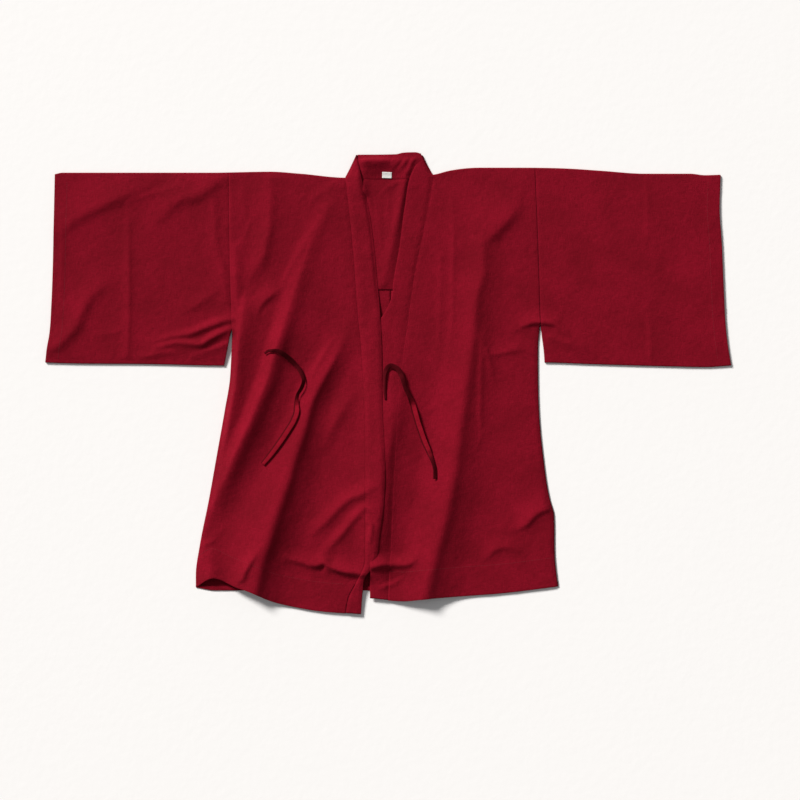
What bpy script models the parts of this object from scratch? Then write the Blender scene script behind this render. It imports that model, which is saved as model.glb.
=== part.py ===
"""Iaido jacket laid flat on its back with the front up.

The jacket is built from the pieces that are cut for it: two body panels that run from the back
hem over the shoulder to the front hem, two sleeves folded at the top, a collar band in three
stretches, a shoulder lining inside the back, a neck label and two ties.

World axes: X runs across the shoulders towards the wearer's left, Y from hem to collar and Z up
off the surface that the jacket lies on. Z is 0 at the underside. The sizes below are in
millimetres, and MM turns them into Blender's metres.
"""

from collections import namedtuple

import bmesh
import bpy
import numpy as np
from mathutils import Vector
from mathutils.bvhtree import BVHTree

MM = 0.001

# Cloth and seams
CLOTH = 1.2
COLLAR_CLOTH = 2.4
LINING_CLOTH = 1.0
TAPE_CLOTH = 1.0
SEAM_GAP = 0.4
REST_GAP = 0.3

# Height of the middle of the lower layer, and of the upper layer where it lies flat
BACK_Z = CLOTH / 2
FRONT_Z = 3.7
ROLL = (FRONT_Z - BACK_Z) / 2
SIDE_SEAM_Z = CLOTH + REST_GAP + CLOTH / 2

# Neck, hem and lining
NECK_SEAM_Y = 409
COLLAR_TOP_Y = 457
CENTRE_BACK_X = 6
LINING_HEM_Y = 187
LINING_TOP_Y = 413
LINING_INSET = 6
LABEL_X = -2
LABEL_Y = 416
LABEL_WIDTH = 19
LABEL_HEIGHT = 12

# Wrinkles of the band behind the neck: their rise, their wave lengths over 2 pi, and the share of
# the band at each end that stays flat
WRINKLE_RISE = 1.2
WRINKLE_X = 9
WRINKLE_Y = 6.3
WRINKLE_INSET = 0.2

# How far the wearer's right front rises where it laps over the left one, and the share of that
# which stays above the lap's upper end
LAP_RISE = 3.4
LAP_REACH = 34
LAP_START = 2
LAP_TOP_Y = 150
LAP_TOP_FADE = 50
LAP_TOP_SHARE = 0.2

# Reach of the slopes beside the side seams, the shoulder fold and the sleeve's lower edge
SIDE_FADE = 26
SEAM_FALL = 13
FOLD_FADE = 14

# Outlines. Each row is a place along the outline, x or y, and the other coordinate there
SHOULDER_X_Y = (
    (-666, 418), (-650, 421), (-356, 421), (-236, 423), (-176, 419), (-86, 411),
    (91, 417), (124, 425), (184, 431), (244, 431), (364, 429), (424, 425), (514, 419),
    (604, 419), (634, 416), (666, 417),
)
SLEEVE_HEM_X_Y = (
    (-684, 42), (-656, 41), (-476, 39), (-328, 36), (314, 42), (404, 39), (468, 37),
    (544, 35), (634, 33), (686, 36),
)
BACK_HEM_X_Y = ((-384, -407), (-346, -413), (0, -413), (300, -408), (340, -405))

RIGHT_CUFF_Y_X = ((36, -685), (67, -681), (97, -676), (157, -672), (277, -668), (421, -665))
LEFT_CUFF_Y_X = ((32, 686), (67, 680), (97, 676), (197, 670), (287, 666), (347, 662), (419, 664))
RIGHT_ARMHOLE_Y_X = ((107, -312), (240, -316), (423, -318))
LEFT_ARMHOLE_Y_X = ((119, 305), (280, 300), (431, 294))
RIGHT_SLIT_Y_X = ((36, -328), (67, -322), (97, -316), (107, -313))
LEFT_SLIT_Y_X = ((41, 314), (67, 312), (97, 308), (119, 306))
RIGHT_SIDE_Y_X = (
    (-407, -384), (-383, -384), (-323, -376), (-233, -358), (-143, -342), (-53, -326),
    (7, -316), (37, -314), (107, -311),
)
LEFT_SIDE_Y_X = (
    (-405, 340), (-353, 334), (-263, 332), (-233, 324), (-143, 310), (-53, 302), (67, 300),
    (119, 304),
)

RIGHT_FRONT_HEM_X_Y = (
    (-384, -407), (-352, -388), (-310, -405), (-276, -416), (-238, -433), (-162, -451),
    (-54, -461),
)
LEFT_FRONT_HEM_X_Y = ((-36, -429), (28, -434), (78, -429), (140, -425), (224, -419), (340, -405))

RIGHT_COLLAR_SEAM_Y_X = (
    (-456, -86), (-427, -80), (-393, -62), (-353, -46), (-113, -46), (39, -52), (147, -62),
    (267, -71), (411, -86),
)
RIGHT_COLLAR_EDGE_Y_X = (
    (-463, -54), (-413, -50), (-387, -46), (-367, -30), (-303, -16), (-177, -5), (-33, -11),
    (77, -12), (147, -16), (207, -21), (367, -42), (407, -52), (457, -61),
)
LEFT_COLLAR_SEAM_Y_X = (
    (-431, 2), (-173, 13), (57, 30), (103, 38), (177, 48), (223, 55), (267, 64), (343, 79),
    (415, 91),
)
LEFT_COLLAR_EDGE_Y_X = (
    (-431, -36), (-233, -36), (-73, -32), (57, -26), (123, -18), (143, -6), (163, 4),
    (213, 12), (267, 22), (357, 34), (417, 46), (457, 67),
)
# Top edge of the stretch behind the neck, a little higher on the left
COLLAR_TOP_X_Y = ((-62, 457), (16, 458), (30, 461), (56, 462), (68, 459))
# The edge where the band turns from the shoulder to the back of the neck
RIGHT_COLLAR_TURN_Y_X = ((411, -86), (432, -75), (457, -63))
LEFT_COLLAR_TURN_Y_X = ((415, 91), (434, 80), (457, 69))
# The ends of the stretch behind the neck, just inside those turns
RIGHT_COLLAR_BACK_Y_X = ((409, -60), (418, -78), (432, -74), (457, -62))
LEFT_COLLAR_BACK_Y_X = ((409, 66), (418, 86), (434, 79), (457, 68))

# How far the edge of the wearer's right collar band rises over its seam
LIP_Y_RISE = ((-430, 0), (290, 0), (345, 3), (385, 6), (411, 0))

# Folds. A path's rows are x, y and the ridge's height there. A ridge falls away over the reach
# upper, on the side of the right shoulder, and over the reach lower, on the side of the left hem
Fold = namedtuple("Fold", "upper lower path")

FRONT_EDGE_FOLD = Fold(46, 32, (
    (24, 40, 2), (16, -13, 8), (6, -53, 13), (-4, -113, 15), (-14, -173, 15), (-14, -233, 15),
    (-20, -293, 14), (-26, -345, 10), (-28, -375, 4)))

RIGHT_FOLDS = (
    FRONT_EDGE_FOLD,
    Fold(26, 26, (
        (-112, 367, 2), (-130, 327, 3.5), (-150, 287, 5), (-164, 247, 6.5), (-178, 207, 8.5),
        (-190, 167, 11), (-204, 127, 14), (-218, 87, 17), (-230, 47, 19), (-239, 7, 21),
        (-252, -23, 22), (-272, -73, 23), (-292, -117, 22), (-308, -153, 20), (-324, -193, 15),
        (-346, -237, 7), (-362, -265, 2))),
    Fold(50, 28, (
        (-98, 67, 3), (-119, 27, 9), (-141, -13, 15), (-154, -43, 18), (-167, -93, 21),
        (-183, -145, 23), (-198, -197, 25), (-218, -249, 26), (-235, -303, 27), (-252, -357, 26),
        (-265, -417, 23))),
    Fold(12, 20, (
        (-262, 171, 2), (-272, 145, 6), (-282, 117, 9), (-291, 77, 11), (-298, 47, 13),
        (-304, 7, 14), (-311, -33, 14), (-319, -73, 12), (-326, -113, 8), (-334, -149, 4))),
    Fold(22, 16, (
        (-236, 410, 2), (-235, 377, 4.5), (-236, 327, 6), (-242, 287, 7.5), (-250, 251, 7),
        (-266, 223, 4))),
    Fold(18, 24, ((-352, -305, 2), (-354, -349, 6), (-354, -401, 12))),
    Fold(9, 14, ((-304, 273, 2), (-303, 203, 4), (-304, 127, 3))),
    Fold(24, 9, ((-218, 187, 1), (-230, 179, 4), (-246, 165, 5), (-258, 149, 5), (-264, 125, 3))),
    Fold(16, 12, (
        (-24, -189, 3), (-52, -217, 6), (-80, -231, 7), (-100, -249, 7), (-120, -271, 6),
        (-148, -297, 3))),
    Fold(13, 12, (
        (-48, -247, 4), (-72, -273, 6), (-92, -299, 6), (-114, -323, 4), (-134, -347, 2))),
    Fold(16, 11, (
        (-198, -349, 3), (-170, -357, 7), (-146, -363, 9), (-128, -358, 10), (-112, -367, 12),
        (-84, -375, 12), (-54, -380, 8))),
    Fold(14, 12, (
        (-648, 315, 2), (-624, 339, 3.5), (-582, 361, 4), (-532, 385, 4), (-476, 407, 1.5))),
    Fold(13, 12, ((-456, 351, 1.5), (-422, 375, 3.5), (-384, 381, 4), (-346, 405, 1.5))),
    Fold(14, 11, (
        (-680, 73, 2), (-660, 75, 4), (-644, 91, 5), (-628, 107, 5), (-614, 137, 4),
        (-594, 169, 3), (-562, 197, 1))),
    Fold(10, 9, (
        (-464, 75, 2), (-420, 85, 5), (-376, 83, 7), (-354, 95, 7), (-324, 109, 5),
        (-300, 115, 2))),
    Fold(11, 8, (
        (-428, 99, 3), (-398, 105, 5), (-368, 115, 6), (-348, 123, 6), (-320, 129, 4),
        (-296, 131, 2))),
)
LEFT_FOLDS = (
    FRONT_EDGE_FOLD,
    Fold(34, 32, (
        (184, 327, 1), (187, 287, 6), (191, 227, 9), (176, 167, 11), (170, 107, 12),
        (163, 47, 13), (154, -13, 14), (146, -73, 16), (138, -133, 18), (127, -193, 20),
        (114, -253, 23), (102, -313, 25), (89, -373, 25), (74, -429, 19))),
    Fold(14, 11, ((256, 371, 1.5), (236, 345, 4.5), (218, 323, 4.5), (192, 297, 2))),
    Fold(9, 8, ((204, 65, 2), (234, 69, 2.5), (266, 75, 1.5))),
    Fold(12, 9, ((252, -291, 1.5), (276, -281, 4), (292, -261, 5), (312, -251, 5), (332, -249, 3))),
    Fold(9, 8, ((196, -341, 2), (216, -325, 3), (234, -321, 3), (264, -329, 1.5))),
    Fold(8, 10, ((-14, -366, 3), (4, -363, 8), (32, -359, 8), (50, -349, 2))),
    Fold(12, 11, ((384, 305, 1), (428, 271, 2.5), (468, 223, 2.5), (516, 173, 1))),
    Fold(11, 9, (
        (264, 121, 2), (292, 131, 5), (316, 131, 5), (340, 125, 5), (362, 107, 3), (384, 83, 1))),
)

# Ties. A path's rows are x, y and the tape's width there
RIGHT_TIE_PATH = (
    (-246, 60, 8), (-236, 65, 9), (-222, 65, 10), (-206, 57, 11), (-194, 47, 11), (-182, 35, 10),
    (-172, 19, 9), (-168, 5, 9), (-172, -9, 9), (-180, -23, 9), (-182, -39, 10), (-182, -53, 12),
    (-189, -75, 12), (-200, -93, 12), (-216, -117, 12), (-233, -140, 11), (-250, -161, 9),
)
LEFT_TIE_PATH = (
    (-6, 28, 10), (4, 36, 11), (18, 30, 11), (28, 13, 10), (35, -9, 10), (43, -26, 10),
    (49, -41, 11), (55, -59, 13), (60, -77, 14), (66, -95, 14), (73, -115, 13), (81, -133, 11),
    (87, -150, 9), (93, -170, 8), (94, -190, 8),
)

# Mesh rows and columns
SHARED_COLUMNS = 26
NECK_COLUMNS = 4
BACK_ROWS = 5
ROLL_ROWS = 4
FRONT_ROWS = 33
SLEEVE_COLUMNS = 18
SLEEVE_FRONT_ROWS = 14
SLEEVE_BACK_ROWS = 2
COLLAR_TURN_ROWS = 2
COLLAR_COLUMNS = 4
COLLAR_BACK_COLUMNS = 14
COLLAR_BACK_ROWS = 5
LINING_COLUMNS = 12
LINING_ROWS = 4
TAPE_ROWS = 30
TAPE_COLUMNS = 2
LABEL_CELLS = 2
PATH_STEPS = 6
WELD = 0.00001
TO_LEFT_HEM = np.array((0.85, -0.53))

WINE_RED = (0.19, 0.010, 0.017, 1.0)
INNER_RED = (0.15, 0.008, 0.014, 1.0)
TAPE_RED = (0.13, 0.007, 0.012, 1.0)
LABEL_WHITE = (0.80, 0.79, 0.76, 1.0)

Half = namedtuple("Half", "side armhole slit cuff seam edge turn front_hem neck_x folds lap")
RIGHT = Half(RIGHT_SIDE_Y_X, RIGHT_ARMHOLE_Y_X, RIGHT_SLIT_Y_X, RIGHT_CUFF_Y_X,
             RIGHT_COLLAR_SEAM_Y_X, RIGHT_COLLAR_EDGE_Y_X, RIGHT_COLLAR_TURN_Y_X,
             RIGHT_FRONT_HEM_X_Y, -86, RIGHT_FOLDS, 1)
LEFT = Half(LEFT_SIDE_Y_X, LEFT_ARMHOLE_Y_X, LEFT_SLIT_Y_X, LEFT_CUFF_Y_X,
            LEFT_COLLAR_SEAM_Y_X, LEFT_COLLAR_EDGE_Y_X, LEFT_COLLAR_TURN_Y_X,
            LEFT_FRONT_HEM_X_Y, 91, LEFT_FOLDS, 0)


def read(table, at):
    """Reads the second column at a value of the first, along a smooth curve through the rows that
    never runs past one of them."""
    knots, values = np.array(sorted(table), float).T
    at = np.clip(at, knots[0], knots[-1])
    chords = np.abs(np.diff(values) / np.diff(knots))
    turning = np.diff(values)[1:] * np.diff(values)[:-1] <= 0
    limit = np.where(turning, 0, 3 * np.minimum(chords[1:], chords[:-1]))
    slopes = np.gradient(values, knots)
    slopes[1:-1] = np.clip(slopes[1:-1], -limit, limit)
    k = np.clip(np.searchsorted(knots, at) - 1, 0, len(knots) - 2)
    step = knots[k + 1] - knots[k]
    t = (at - knots[k]) / step
    start = values[k] * (1 + 2 * t) * (1 - t) ** 2 + slopes[k] * step * t * (1 - t) ** 2
    end = values[k + 1] * t**2 * (3 - 2 * t) + slopes[k + 1] * step * t**2 * (t - 1)
    return start + end


def ease(t):
    """Goes from 0 to 1 with level ends as t does."""
    t = np.clip(t, 0, 1)
    return t * t * (3 - 2 * t)


def mix(a, b, t):
    return a + (b - a) * t


def walk(path, count):
    """Spreads count points evenly along a smooth curve through the path's rows."""
    rows = np.array(path, float)
    run = np.concatenate(([0], np.cumsum(np.hypot(*np.diff(rows[:, :2], axis=0).T))))
    at = np.linspace(0, run[-1], count)
    return np.stack([read(tuple(zip(run, column)), at) for column in rows.T], axis=1)


def fold_height(folds, x, y):
    """Height of the folds at each point: a bell across each ridge, the tallest one winning."""
    total = np.zeros(np.broadcast(x, y).shape)
    for fold in folds:
        ridge = walk(fold.path, PATH_STEPS * len(fold.path))
        start, run = ridge[:-1, :2], np.diff(ridge[:, :2], axis=0)
        offset = np.stack([x, y], axis=-1)[..., None, :] - start
        t = np.clip((offset * run).sum(-1) / (run**2).sum(-1), 0, 1)
        away = offset - t[..., None] * run
        nearest = np.hypot(away[..., 0], away[..., 1]).argmin(-1)[..., None]
        away = np.take_along_axis(away, nearest[..., None], -2)[..., 0, :]
        t = np.take_along_axis(t, nearest, -1)[..., 0]
        height = mix(ridge[:-1, 2][nearest[..., 0]], ridge[1:, 2][nearest[..., 0]], t)
        distance = np.hypot(away[..., 0], away[..., 1])
        lower_side = away @ TO_LEFT_HEM / np.maximum(distance, WELD)
        reach = mix(fold.upper, fold.lower, ease(lower_side + 0.5))
        total += (height * np.exp(-((distance / reach) ** 2))) ** 3
    return np.cbrt(total)


def side_x(half, y):
    """The body's side: the armhole seam above its foot and the side seam below it."""
    foot = half.armhole[0][0]
    return np.where(y > foot, read(half.armhole, y), read(half.side, y))


def inner_x(half, y):
    """The sleeve's inner end: along the armhole seam, and free of the body below it."""
    foot = half.armhole[0][0]
    outward = -SEAM_GAP if half.lap else SEAM_GAP
    return np.where(y > foot, read(half.armhole, y) + outward, read(half.slit, y) + outward)


def front_z(half, x, y):
    """Middle of the upper layer: level where it lies on the back, raised by folds and the lap."""
    top = read(SHOULDER_X_Y, x)
    fade = ease((top - y) / FOLD_FADE)
    foot = half.armhole[0][0]
    beside = np.abs(x - side_x(half, y))
    body = (np.abs(x) < np.abs(side_x(half, y))).astype(float)
    below = ease((foot - y) / SIDE_FADE) * body
    hold = 1 - below * (1 - ease(beside / SIDE_FADE))
    z = FRONT_Z + fold_height(half.folds, x, y) * fade * hold
    z -= (FRONT_Z - SIDE_SEAM_Z) * below * (1 - ease(beside / SEAM_FALL))
    if half.lap:
        under = read(LEFT_COLLAR_EDGE_Y_X, y)
        lapped = mix(1, LAP_TOP_SHARE, ease((y - LAP_TOP_Y) / LAP_TOP_FADE))
        z += LAP_RISE * lapped * ease((x - under + LAP_REACH + LAP_START) / LAP_REACH)
        seam, edge = read(half.seam, y), read(half.edge, y)
        z += read(LIP_Y_RISE, y) * ease((x - seam) / (edge - seam))
    return z


def material(name, colour, roughness):
    cloth = bpy.data.materials.new(name)
    cloth.use_nodes = True
    shader = cloth.node_tree.nodes["Principled BSDF"]
    shader.inputs["Base Color"].default_value = colour
    shader.inputs["Roughness"].default_value = roughness
    shader.inputs["Metallic"].default_value = 0.0
    cloth.diffuse_color = colour
    return cloth


def sheet(name, columns, rows, place, wall, finish, keep=None, closed=False, split="FIXED"):
    """One piece of cloth: a grid of columns and rows laid out by place, with Solidify for its wall.

    place turns arrays of column and row numbers into x, y and z. keep says which faces stay, by
    the column and row of their middles. A closed sheet has its last row sewn to its first. split
    says which diagonal cuts the cells, so that it can run with the ridges.
    """
    bm = bmesh.new()
    bmesh.ops.create_grid(bm, x_segments=columns, y_segments=rows, size=0.5)
    if keep:
        middles = {f: (np.array(f.calc_center_median()[:2]) + 0.5) * (columns, rows) for f in bm.faces}
        away = [face for face, middle in middles.items() if not keep(*middle)]
        bmesh.ops.delete(bm, geom=away, context="FACES")
    flat = np.array([v.co[:2] for v in bm.verts]) + 0.5
    i, j = np.rint(flat * (columns, rows)).T
    for vertex, point in zip(bm.verts, np.stack(place(i, j), axis=1) * MM):
        vertex.co = point
    if closed:
        bmesh.ops.remove_doubles(bm, verts=bm.verts, dist=WELD)
    bmesh.ops.triangulate(bm, faces=bm.faces, quad_method=split)
    mesh = bpy.data.meshes.new(name)
    bm.to_mesh(mesh)
    bm.free()
    mesh.shade_smooth()
    mesh.materials.append(finish)
    piece = bpy.data.objects.new(name, mesh)
    jacket.objects.link(piece)
    solid = piece.modifiers.new("Wall", "SOLIDIFY")
    solid.thickness = wall * MM
    solid.offset = 0
    solid.use_even_offset = True
    return piece


def body_panel(name, half, finish):
    """Back half, shoulder fold and front of one side, in one cut piece."""
    front_start = BACK_ROWS + ROLL_ROWS
    columns = SHARED_COLUMNS + NECK_COLUMNS

    def place(i, j):
        across = np.minimum(i / SHARED_COLUMNS, 1)
        neck = np.clip((i - SHARED_COLUMNS) / NECK_COLUMNS, 0, 1)

        top_x = mix(max(half.armhole)[1], half.neck_x, across)
        top = np.where(neck > 0, NECK_SEAM_Y, read(SHOULDER_X_Y, top_x) - ROLL)

        back_end_x = mix(mix(half.side[0][1], half.neck_x, across), CENTRE_BACK_X, neck)
        back_y = mix(read(BACK_HEM_X_Y, back_end_x), top, np.clip(j / BACK_ROWS, 0, 1))
        centre = CENTRE_BACK_X - (SEAM_GAP if half.lap else -SEAM_GAP) / 2
        back_x = mix(mix(side_x(half, back_y), half.neck_x, across), centre, neck)

        down = np.clip((j - front_start) / FRONT_ROWS, 0, 1)
        hem_x = mix(half.side[0][1], half.seam[0][1], across)
        front_y = mix(top, read(half.front_hem, hem_x), down)
        front_x = mix(side_x(half, front_y), read(half.seam, front_y), across)

        turn = np.clip((j - BACK_ROWS) / ROLL_ROWS, 0, 1)
        rolled_y = top + ROLL * np.sin(np.pi * turn)
        rolled_z = BACK_Z + ROLL * (1 - np.cos(np.pi * turn))

        back, front = j <= BACK_ROWS, j >= front_start
        x = np.where(back, back_x, front_x)
        y = np.where(back, back_y, np.where(front, front_y, rolled_y))
        z = np.where(back, BACK_Z, np.where(front, front_z(half, front_x, front_y), rolled_z))
        return x, y, z

    def keep(i, j):
        return i < SHARED_COLUMNS or j < BACK_ROWS

    split = "ALTERNATE" if half.lap else "FIXED"
    return sheet(name, columns, front_start + FRONT_ROWS, place, CLOTH, finish, keep=keep, split=split)


def sleeve(name, half, finish):
    """A flat tube: lower layer, fold along the shoulder line, upper layer and lower edge."""
    front_start = SLEEVE_BACK_ROWS + ROLL_ROWS
    front_end = front_start + SLEEVE_FRONT_ROWS
    rows = front_end + ROLL_ROWS

    def place(i, j):
        out = i / SLEEVE_COLUMNS
        top_x = mix(max(half.armhole)[1], max(half.cuff)[1], out)
        low_x = mix(min(half.slit)[1], min(half.cuff)[1], out)
        top = read(SHOULDER_X_Y, top_x) - ROLL
        low = read(SLEEVE_HEM_X_Y, low_x) + ROLL

        back_y = mix(low, top, np.clip(j / SLEEVE_BACK_ROWS, 0, 1))
        down = np.clip((j - front_start) / SLEEVE_FRONT_ROWS, 0, 1)
        front_y = mix(top, low, down)
        over = np.clip((j - SLEEVE_BACK_ROWS) / ROLL_ROWS, 0, 1) * np.pi
        under = np.clip((j - front_end) / ROLL_ROWS, 0, 1) * np.pi

        y = np.where(j <= SLEEVE_BACK_ROWS, back_y, front_y)
        y = y + ROLL * np.sin(over) - ROLL * np.sin(under)
        level = np.clip(y, low, top)
        x = mix(inner_x(half, level), read(half.cuff, level), out)

        lower_fade = ease((front_y - low) / FOLD_FADE)
        raised = mix(FRONT_Z, front_z(half, x, front_y), lower_fade)
        z = BACK_Z + ROLL * (1 - np.cos(over)) - ROLL * (1 - np.cos(under))
        z = np.where((j >= front_start) & (j <= front_end), raised, z)
        return x, y, z

    return sheet(name, SLEEVE_COLUMNS, rows, place, CLOTH, finish, closed=True)


def collar_side(name, half, finish):
    """The double band from the turn at the neck down the front edge to the hem.

    Below the shoulder its rows are the front's rows, so that the seam runs even between them.
    """
    gap = SEAM_GAP if half.lap else -SEAM_GAP
    shoulder_y = half.turn[0][0]

    def place(i, j):
        across = i / COLLAR_COLUMNS
        turn = np.clip(j / COLLAR_TURN_ROWS, 0, 1)
        down = np.clip((j - COLLAR_TURN_ROWS) / FRONT_ROWS, 0, 1)
        hem_x = mix(half.seam[0][1], half.edge[0][1], across)
        top = read(SHOULDER_X_Y, half.neck_x) - ROLL
        y = np.where(turn < 1, mix(COLLAR_TOP_Y - 1, top, turn), mix(top, read(half.front_hem, hem_x), down))
        seam = np.where(y > shoulder_y, read(half.turn, y), read(half.seam, y)) + gap
        x = mix(seam, read(half.edge, y), across)
        z = front_z(half, x, np.minimum(y, shoulder_y)) + (COLLAR_CLOTH - CLOTH) / 2
        return x, y, z

    rows = COLLAR_TURN_ROWS + FRONT_ROWS
    return sheet(name, COLLAR_COLUMNS, rows, place, COLLAR_CLOTH, finish)


def collar_back(finish):
    """The stretch round the back of the neck, flat beyond the shoulders with a few wrinkles."""

    def place(i, j):
        across, up = i / COLLAR_BACK_COLUMNS, j / COLLAR_BACK_ROWS
        ends = COLLAR_TOP_X_Y[0][0], COLLAR_TOP_X_Y[-1][0]
        y = mix(NECK_SEAM_Y + SEAM_GAP, read(COLLAR_TOP_X_Y, mix(*ends, across)), up)
        x = mix(read(RIGHT_COLLAR_BACK_Y_X, y), read(LEFT_COLLAR_BACK_Y_X, y), across)
        inside = ease(np.minimum(across, 1 - across) / WRINKLE_INSET - 1)
        wave = 1 + np.sin(x / WRINKLE_X + y / WRINKLE_Y)
        wrinkle = WRINKLE_RISE * inside * wave * ease(2 * up) * ease(2 - 2 * up)
        return x, y, COLLAR_CLOTH / 2 + wrinkle

    return sheet("collar_back", COLLAR_BACK_COLUMNS, COLLAR_BACK_ROWS, place, COLLAR_CLOTH, finish)


def shoulder_lining(finish):
    """The piece sewn inside the back from the shoulders to below the collar's V."""

    def place(i, j):
        ends = min(RIGHT.armhole)[1] + LINING_INSET, max(LEFT.armhole)[1] - LINING_INSET
        x = mix(*ends, i / LINING_COLUMNS)
        top = np.minimum(read(SHOULDER_X_Y, x) - LINING_INSET, LINING_TOP_Y)
        top = np.where((x > RIGHT.neck_x) & (x < LEFT.neck_x), NECK_SEAM_Y - 1, top)
        y = mix(LINING_HEM_Y, top, j / LINING_ROWS)
        return x, y, np.full(len(x), CLOTH + REST_GAP + LINING_CLOTH / 2)

    return sheet("shoulder_lining", LINING_COLUMNS, LINING_ROWS, place, LINING_CLOTH, finish)


def label(finish):
    """A bare woven label over the seam at the back of the neck."""

    def place(i, j):
        x = LABEL_X + (i / LABEL_CELLS - 0.5) * LABEL_WIDTH
        y = LABEL_Y + (j / LABEL_CELLS - 0.5) * LABEL_HEIGHT
        return x, y, height_over((back_of_collar,), x, y) + REST_GAP + LINING_CLOTH / 2

    return sheet("neck_label", LABEL_CELLS, LABEL_CELLS, place, LINING_CLOTH, finish)


def height_over(hosts, x, y, near=5):
    """Highest top of the host pieces within a few millimetres of each point."""
    graph = bpy.context.evaluated_depsgraph_get()
    trees = [BVHTree.FromObject(host, graph) for host in hosts]
    best = np.full(len(x), 0.0)
    for dx in (-near, 0, near):
        for dy in (-near, 0, near):
            for k, (px, py) in enumerate(zip(x, y)):
                start = Vector(((px + dx) * MM, (py + dy) * MM, 1))
                for tree in trees:
                    hit = tree.ray_cast(start, Vector((0, 0, -1)))[0]
                    if hit:
                        best[k] = max(best[k], hit.z / MM)
    return best


def tie(name, path, hosts, finish):
    """A flat tape that lies along its path on the pieces below it."""
    line = walk(path, TAPE_ROWS + 1)
    heading = np.gradient(line[:, :2], axis=0)
    heading /= np.hypot(*heading.T)[:, None]

    def place(i, j):
        row = j.astype(int)
        out = (i / TAPE_COLUMNS - 0.5) * line[row, 2]
        x = line[row, 0] - heading[row, 1] * out
        y = line[row, 1] + heading[row, 0] * out
        return x, y, height_over(hosts, x, y) + REST_GAP + TAPE_CLOTH / 2

    return sheet(name, TAPE_COLUMNS, TAPE_ROWS, place, TAPE_CLOTH, finish)


for old in list(bpy.data.objects):
    bpy.data.objects.remove(old)
jacket = bpy.data.collections.new("iaido_jacket")
bpy.context.scene.collection.children.link(jacket)

outer_cloth = material("outer_cloth", WINE_RED, 0.85)
inner_cloth = material("inner_cloth", INNER_RED, 0.9)
tape_cloth = material("tape", TAPE_RED, 0.85)
label_cloth = material("label", LABEL_WHITE, 0.7)

body_right = body_panel("body_right", RIGHT, outer_cloth)
body_left = body_panel("body_left", LEFT, outer_cloth)
sleeve("sleeve_right", RIGHT, outer_cloth)
sleeve("sleeve_left", LEFT, outer_cloth)
shoulder_lining(inner_cloth)
back_of_collar = collar_back(outer_cloth)
collar_right = collar_side("collar_right", RIGHT, outer_cloth)
collar_left = collar_side("collar_left", LEFT, outer_cloth)
bpy.context.view_layer.update()
label(label_cloth)
tie("tie_right", RIGHT_TIE_PATH, (body_right,), tape_cloth)
tie("tie_left", LEFT_TIE_PATH, (body_left, collar_left), tape_cloth)
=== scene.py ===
"""Looks of an iaido jacket that lies flat on its back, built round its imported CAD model.

World axes: X runs across the shoulders towards the wearer's left, Y from hem to collar and Z up off
the floor. The outlines and folds below are in millimetres, and MM turns them into metres.

The cloth is worked out as whole surfaces. A body panel runs in one piece from the back hem over the
shoulder to the front hem, a sleeve is a flat tube, and the collar, the ties and the label are bands
with rounded edges. All of the upper layer takes its height from one function, upper_z.
"""

import math
from collections import namedtuple
from functools import cache

import bmesh
import bpy
import numpy as np
from bpy.props import FloatProperty, FloatVectorProperty, IntProperty, PointerProperty
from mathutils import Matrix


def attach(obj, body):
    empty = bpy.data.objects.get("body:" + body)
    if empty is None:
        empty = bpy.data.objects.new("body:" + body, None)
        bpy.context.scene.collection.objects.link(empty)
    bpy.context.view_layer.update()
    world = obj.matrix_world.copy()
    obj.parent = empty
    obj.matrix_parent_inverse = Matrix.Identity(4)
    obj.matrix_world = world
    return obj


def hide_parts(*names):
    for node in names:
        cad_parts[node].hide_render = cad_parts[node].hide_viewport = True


bl_info = {
    "name": "Iaido jacket",
    "version": (1, 0, 0),
    "blender": (4, 5, 0),
    "location": "3D View > Sidebar > Jacket",
    "description": "Builds the cloth, the ties and the stitching of a jacket laid flat",
    "category": "Object",
}

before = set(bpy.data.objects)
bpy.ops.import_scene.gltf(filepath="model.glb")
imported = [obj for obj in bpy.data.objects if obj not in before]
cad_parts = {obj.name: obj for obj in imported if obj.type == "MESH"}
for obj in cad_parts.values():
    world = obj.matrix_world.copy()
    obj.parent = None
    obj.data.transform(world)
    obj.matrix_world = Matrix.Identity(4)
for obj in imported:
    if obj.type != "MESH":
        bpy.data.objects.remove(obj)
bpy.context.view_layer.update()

MM = 0.001

# Heights of the middles of the layers. The shoulder fold between the lower layer and the upper one
# is half a circle of the radius ROLL. The lower layer has one row for BACK_SPARSE of the upper one
BACK_Z = 0.6
FRONT_Z = 3.7
ROLL = (FRONT_Z - BACK_Z) / 2
ROLL_ROWS = 8
BACK_SPARSE = 4
SIDE_SEAM_Z = 1.7
LOWEST_Z = 1.9
LINING_Z = 1.9

# How much higher the sewn hem and cuff lie, and the radius of the turn at their edges
HEM_RISE = 0.35
CUFF_RISE = 0.25
LIP_RADIUS = 0.45

# Columns and rows that don't follow the mesh pitch
NECK_COLUMNS = 18
COLLAR_COLUMNS = 22
BACK_BAND_COLUMNS = 26
TIE_COLUMNS = 12
TIE_ROWS = 130

# Lengths that the mesh pitch divides into steps: a half of the body across, its back and its front
# down to the hem, a sleeve out and down, the band down the front and round the neck, the lining
BODY_ACROSS = 300
BACK_DOWN = 830
FRONT_DOWN = 860
SLEEVE_OUT = 366
SLEEVE_DOWN = 380
BAND_DOWN = 900
BAND_ROUND = 140
LINING_ACROSS = 600
LINING_DOWN = 220

# Lengths of the band's cloth, for its weave, on a front and round the neck
COLLAR_LENGTH = 880
BACK_BAND_LENGTH = 150

# Places of the neck seam, the collar's top, the middle of the back and the lining's lower seam, and
# how far the lining stays inside the outline
NECK_SEAM_Y = 409
COLLAR_TOP_Y = 457
CENTRE_BACK_X = 6
LINING_HEM_Y = 187
LINING_INSET = 6

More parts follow.
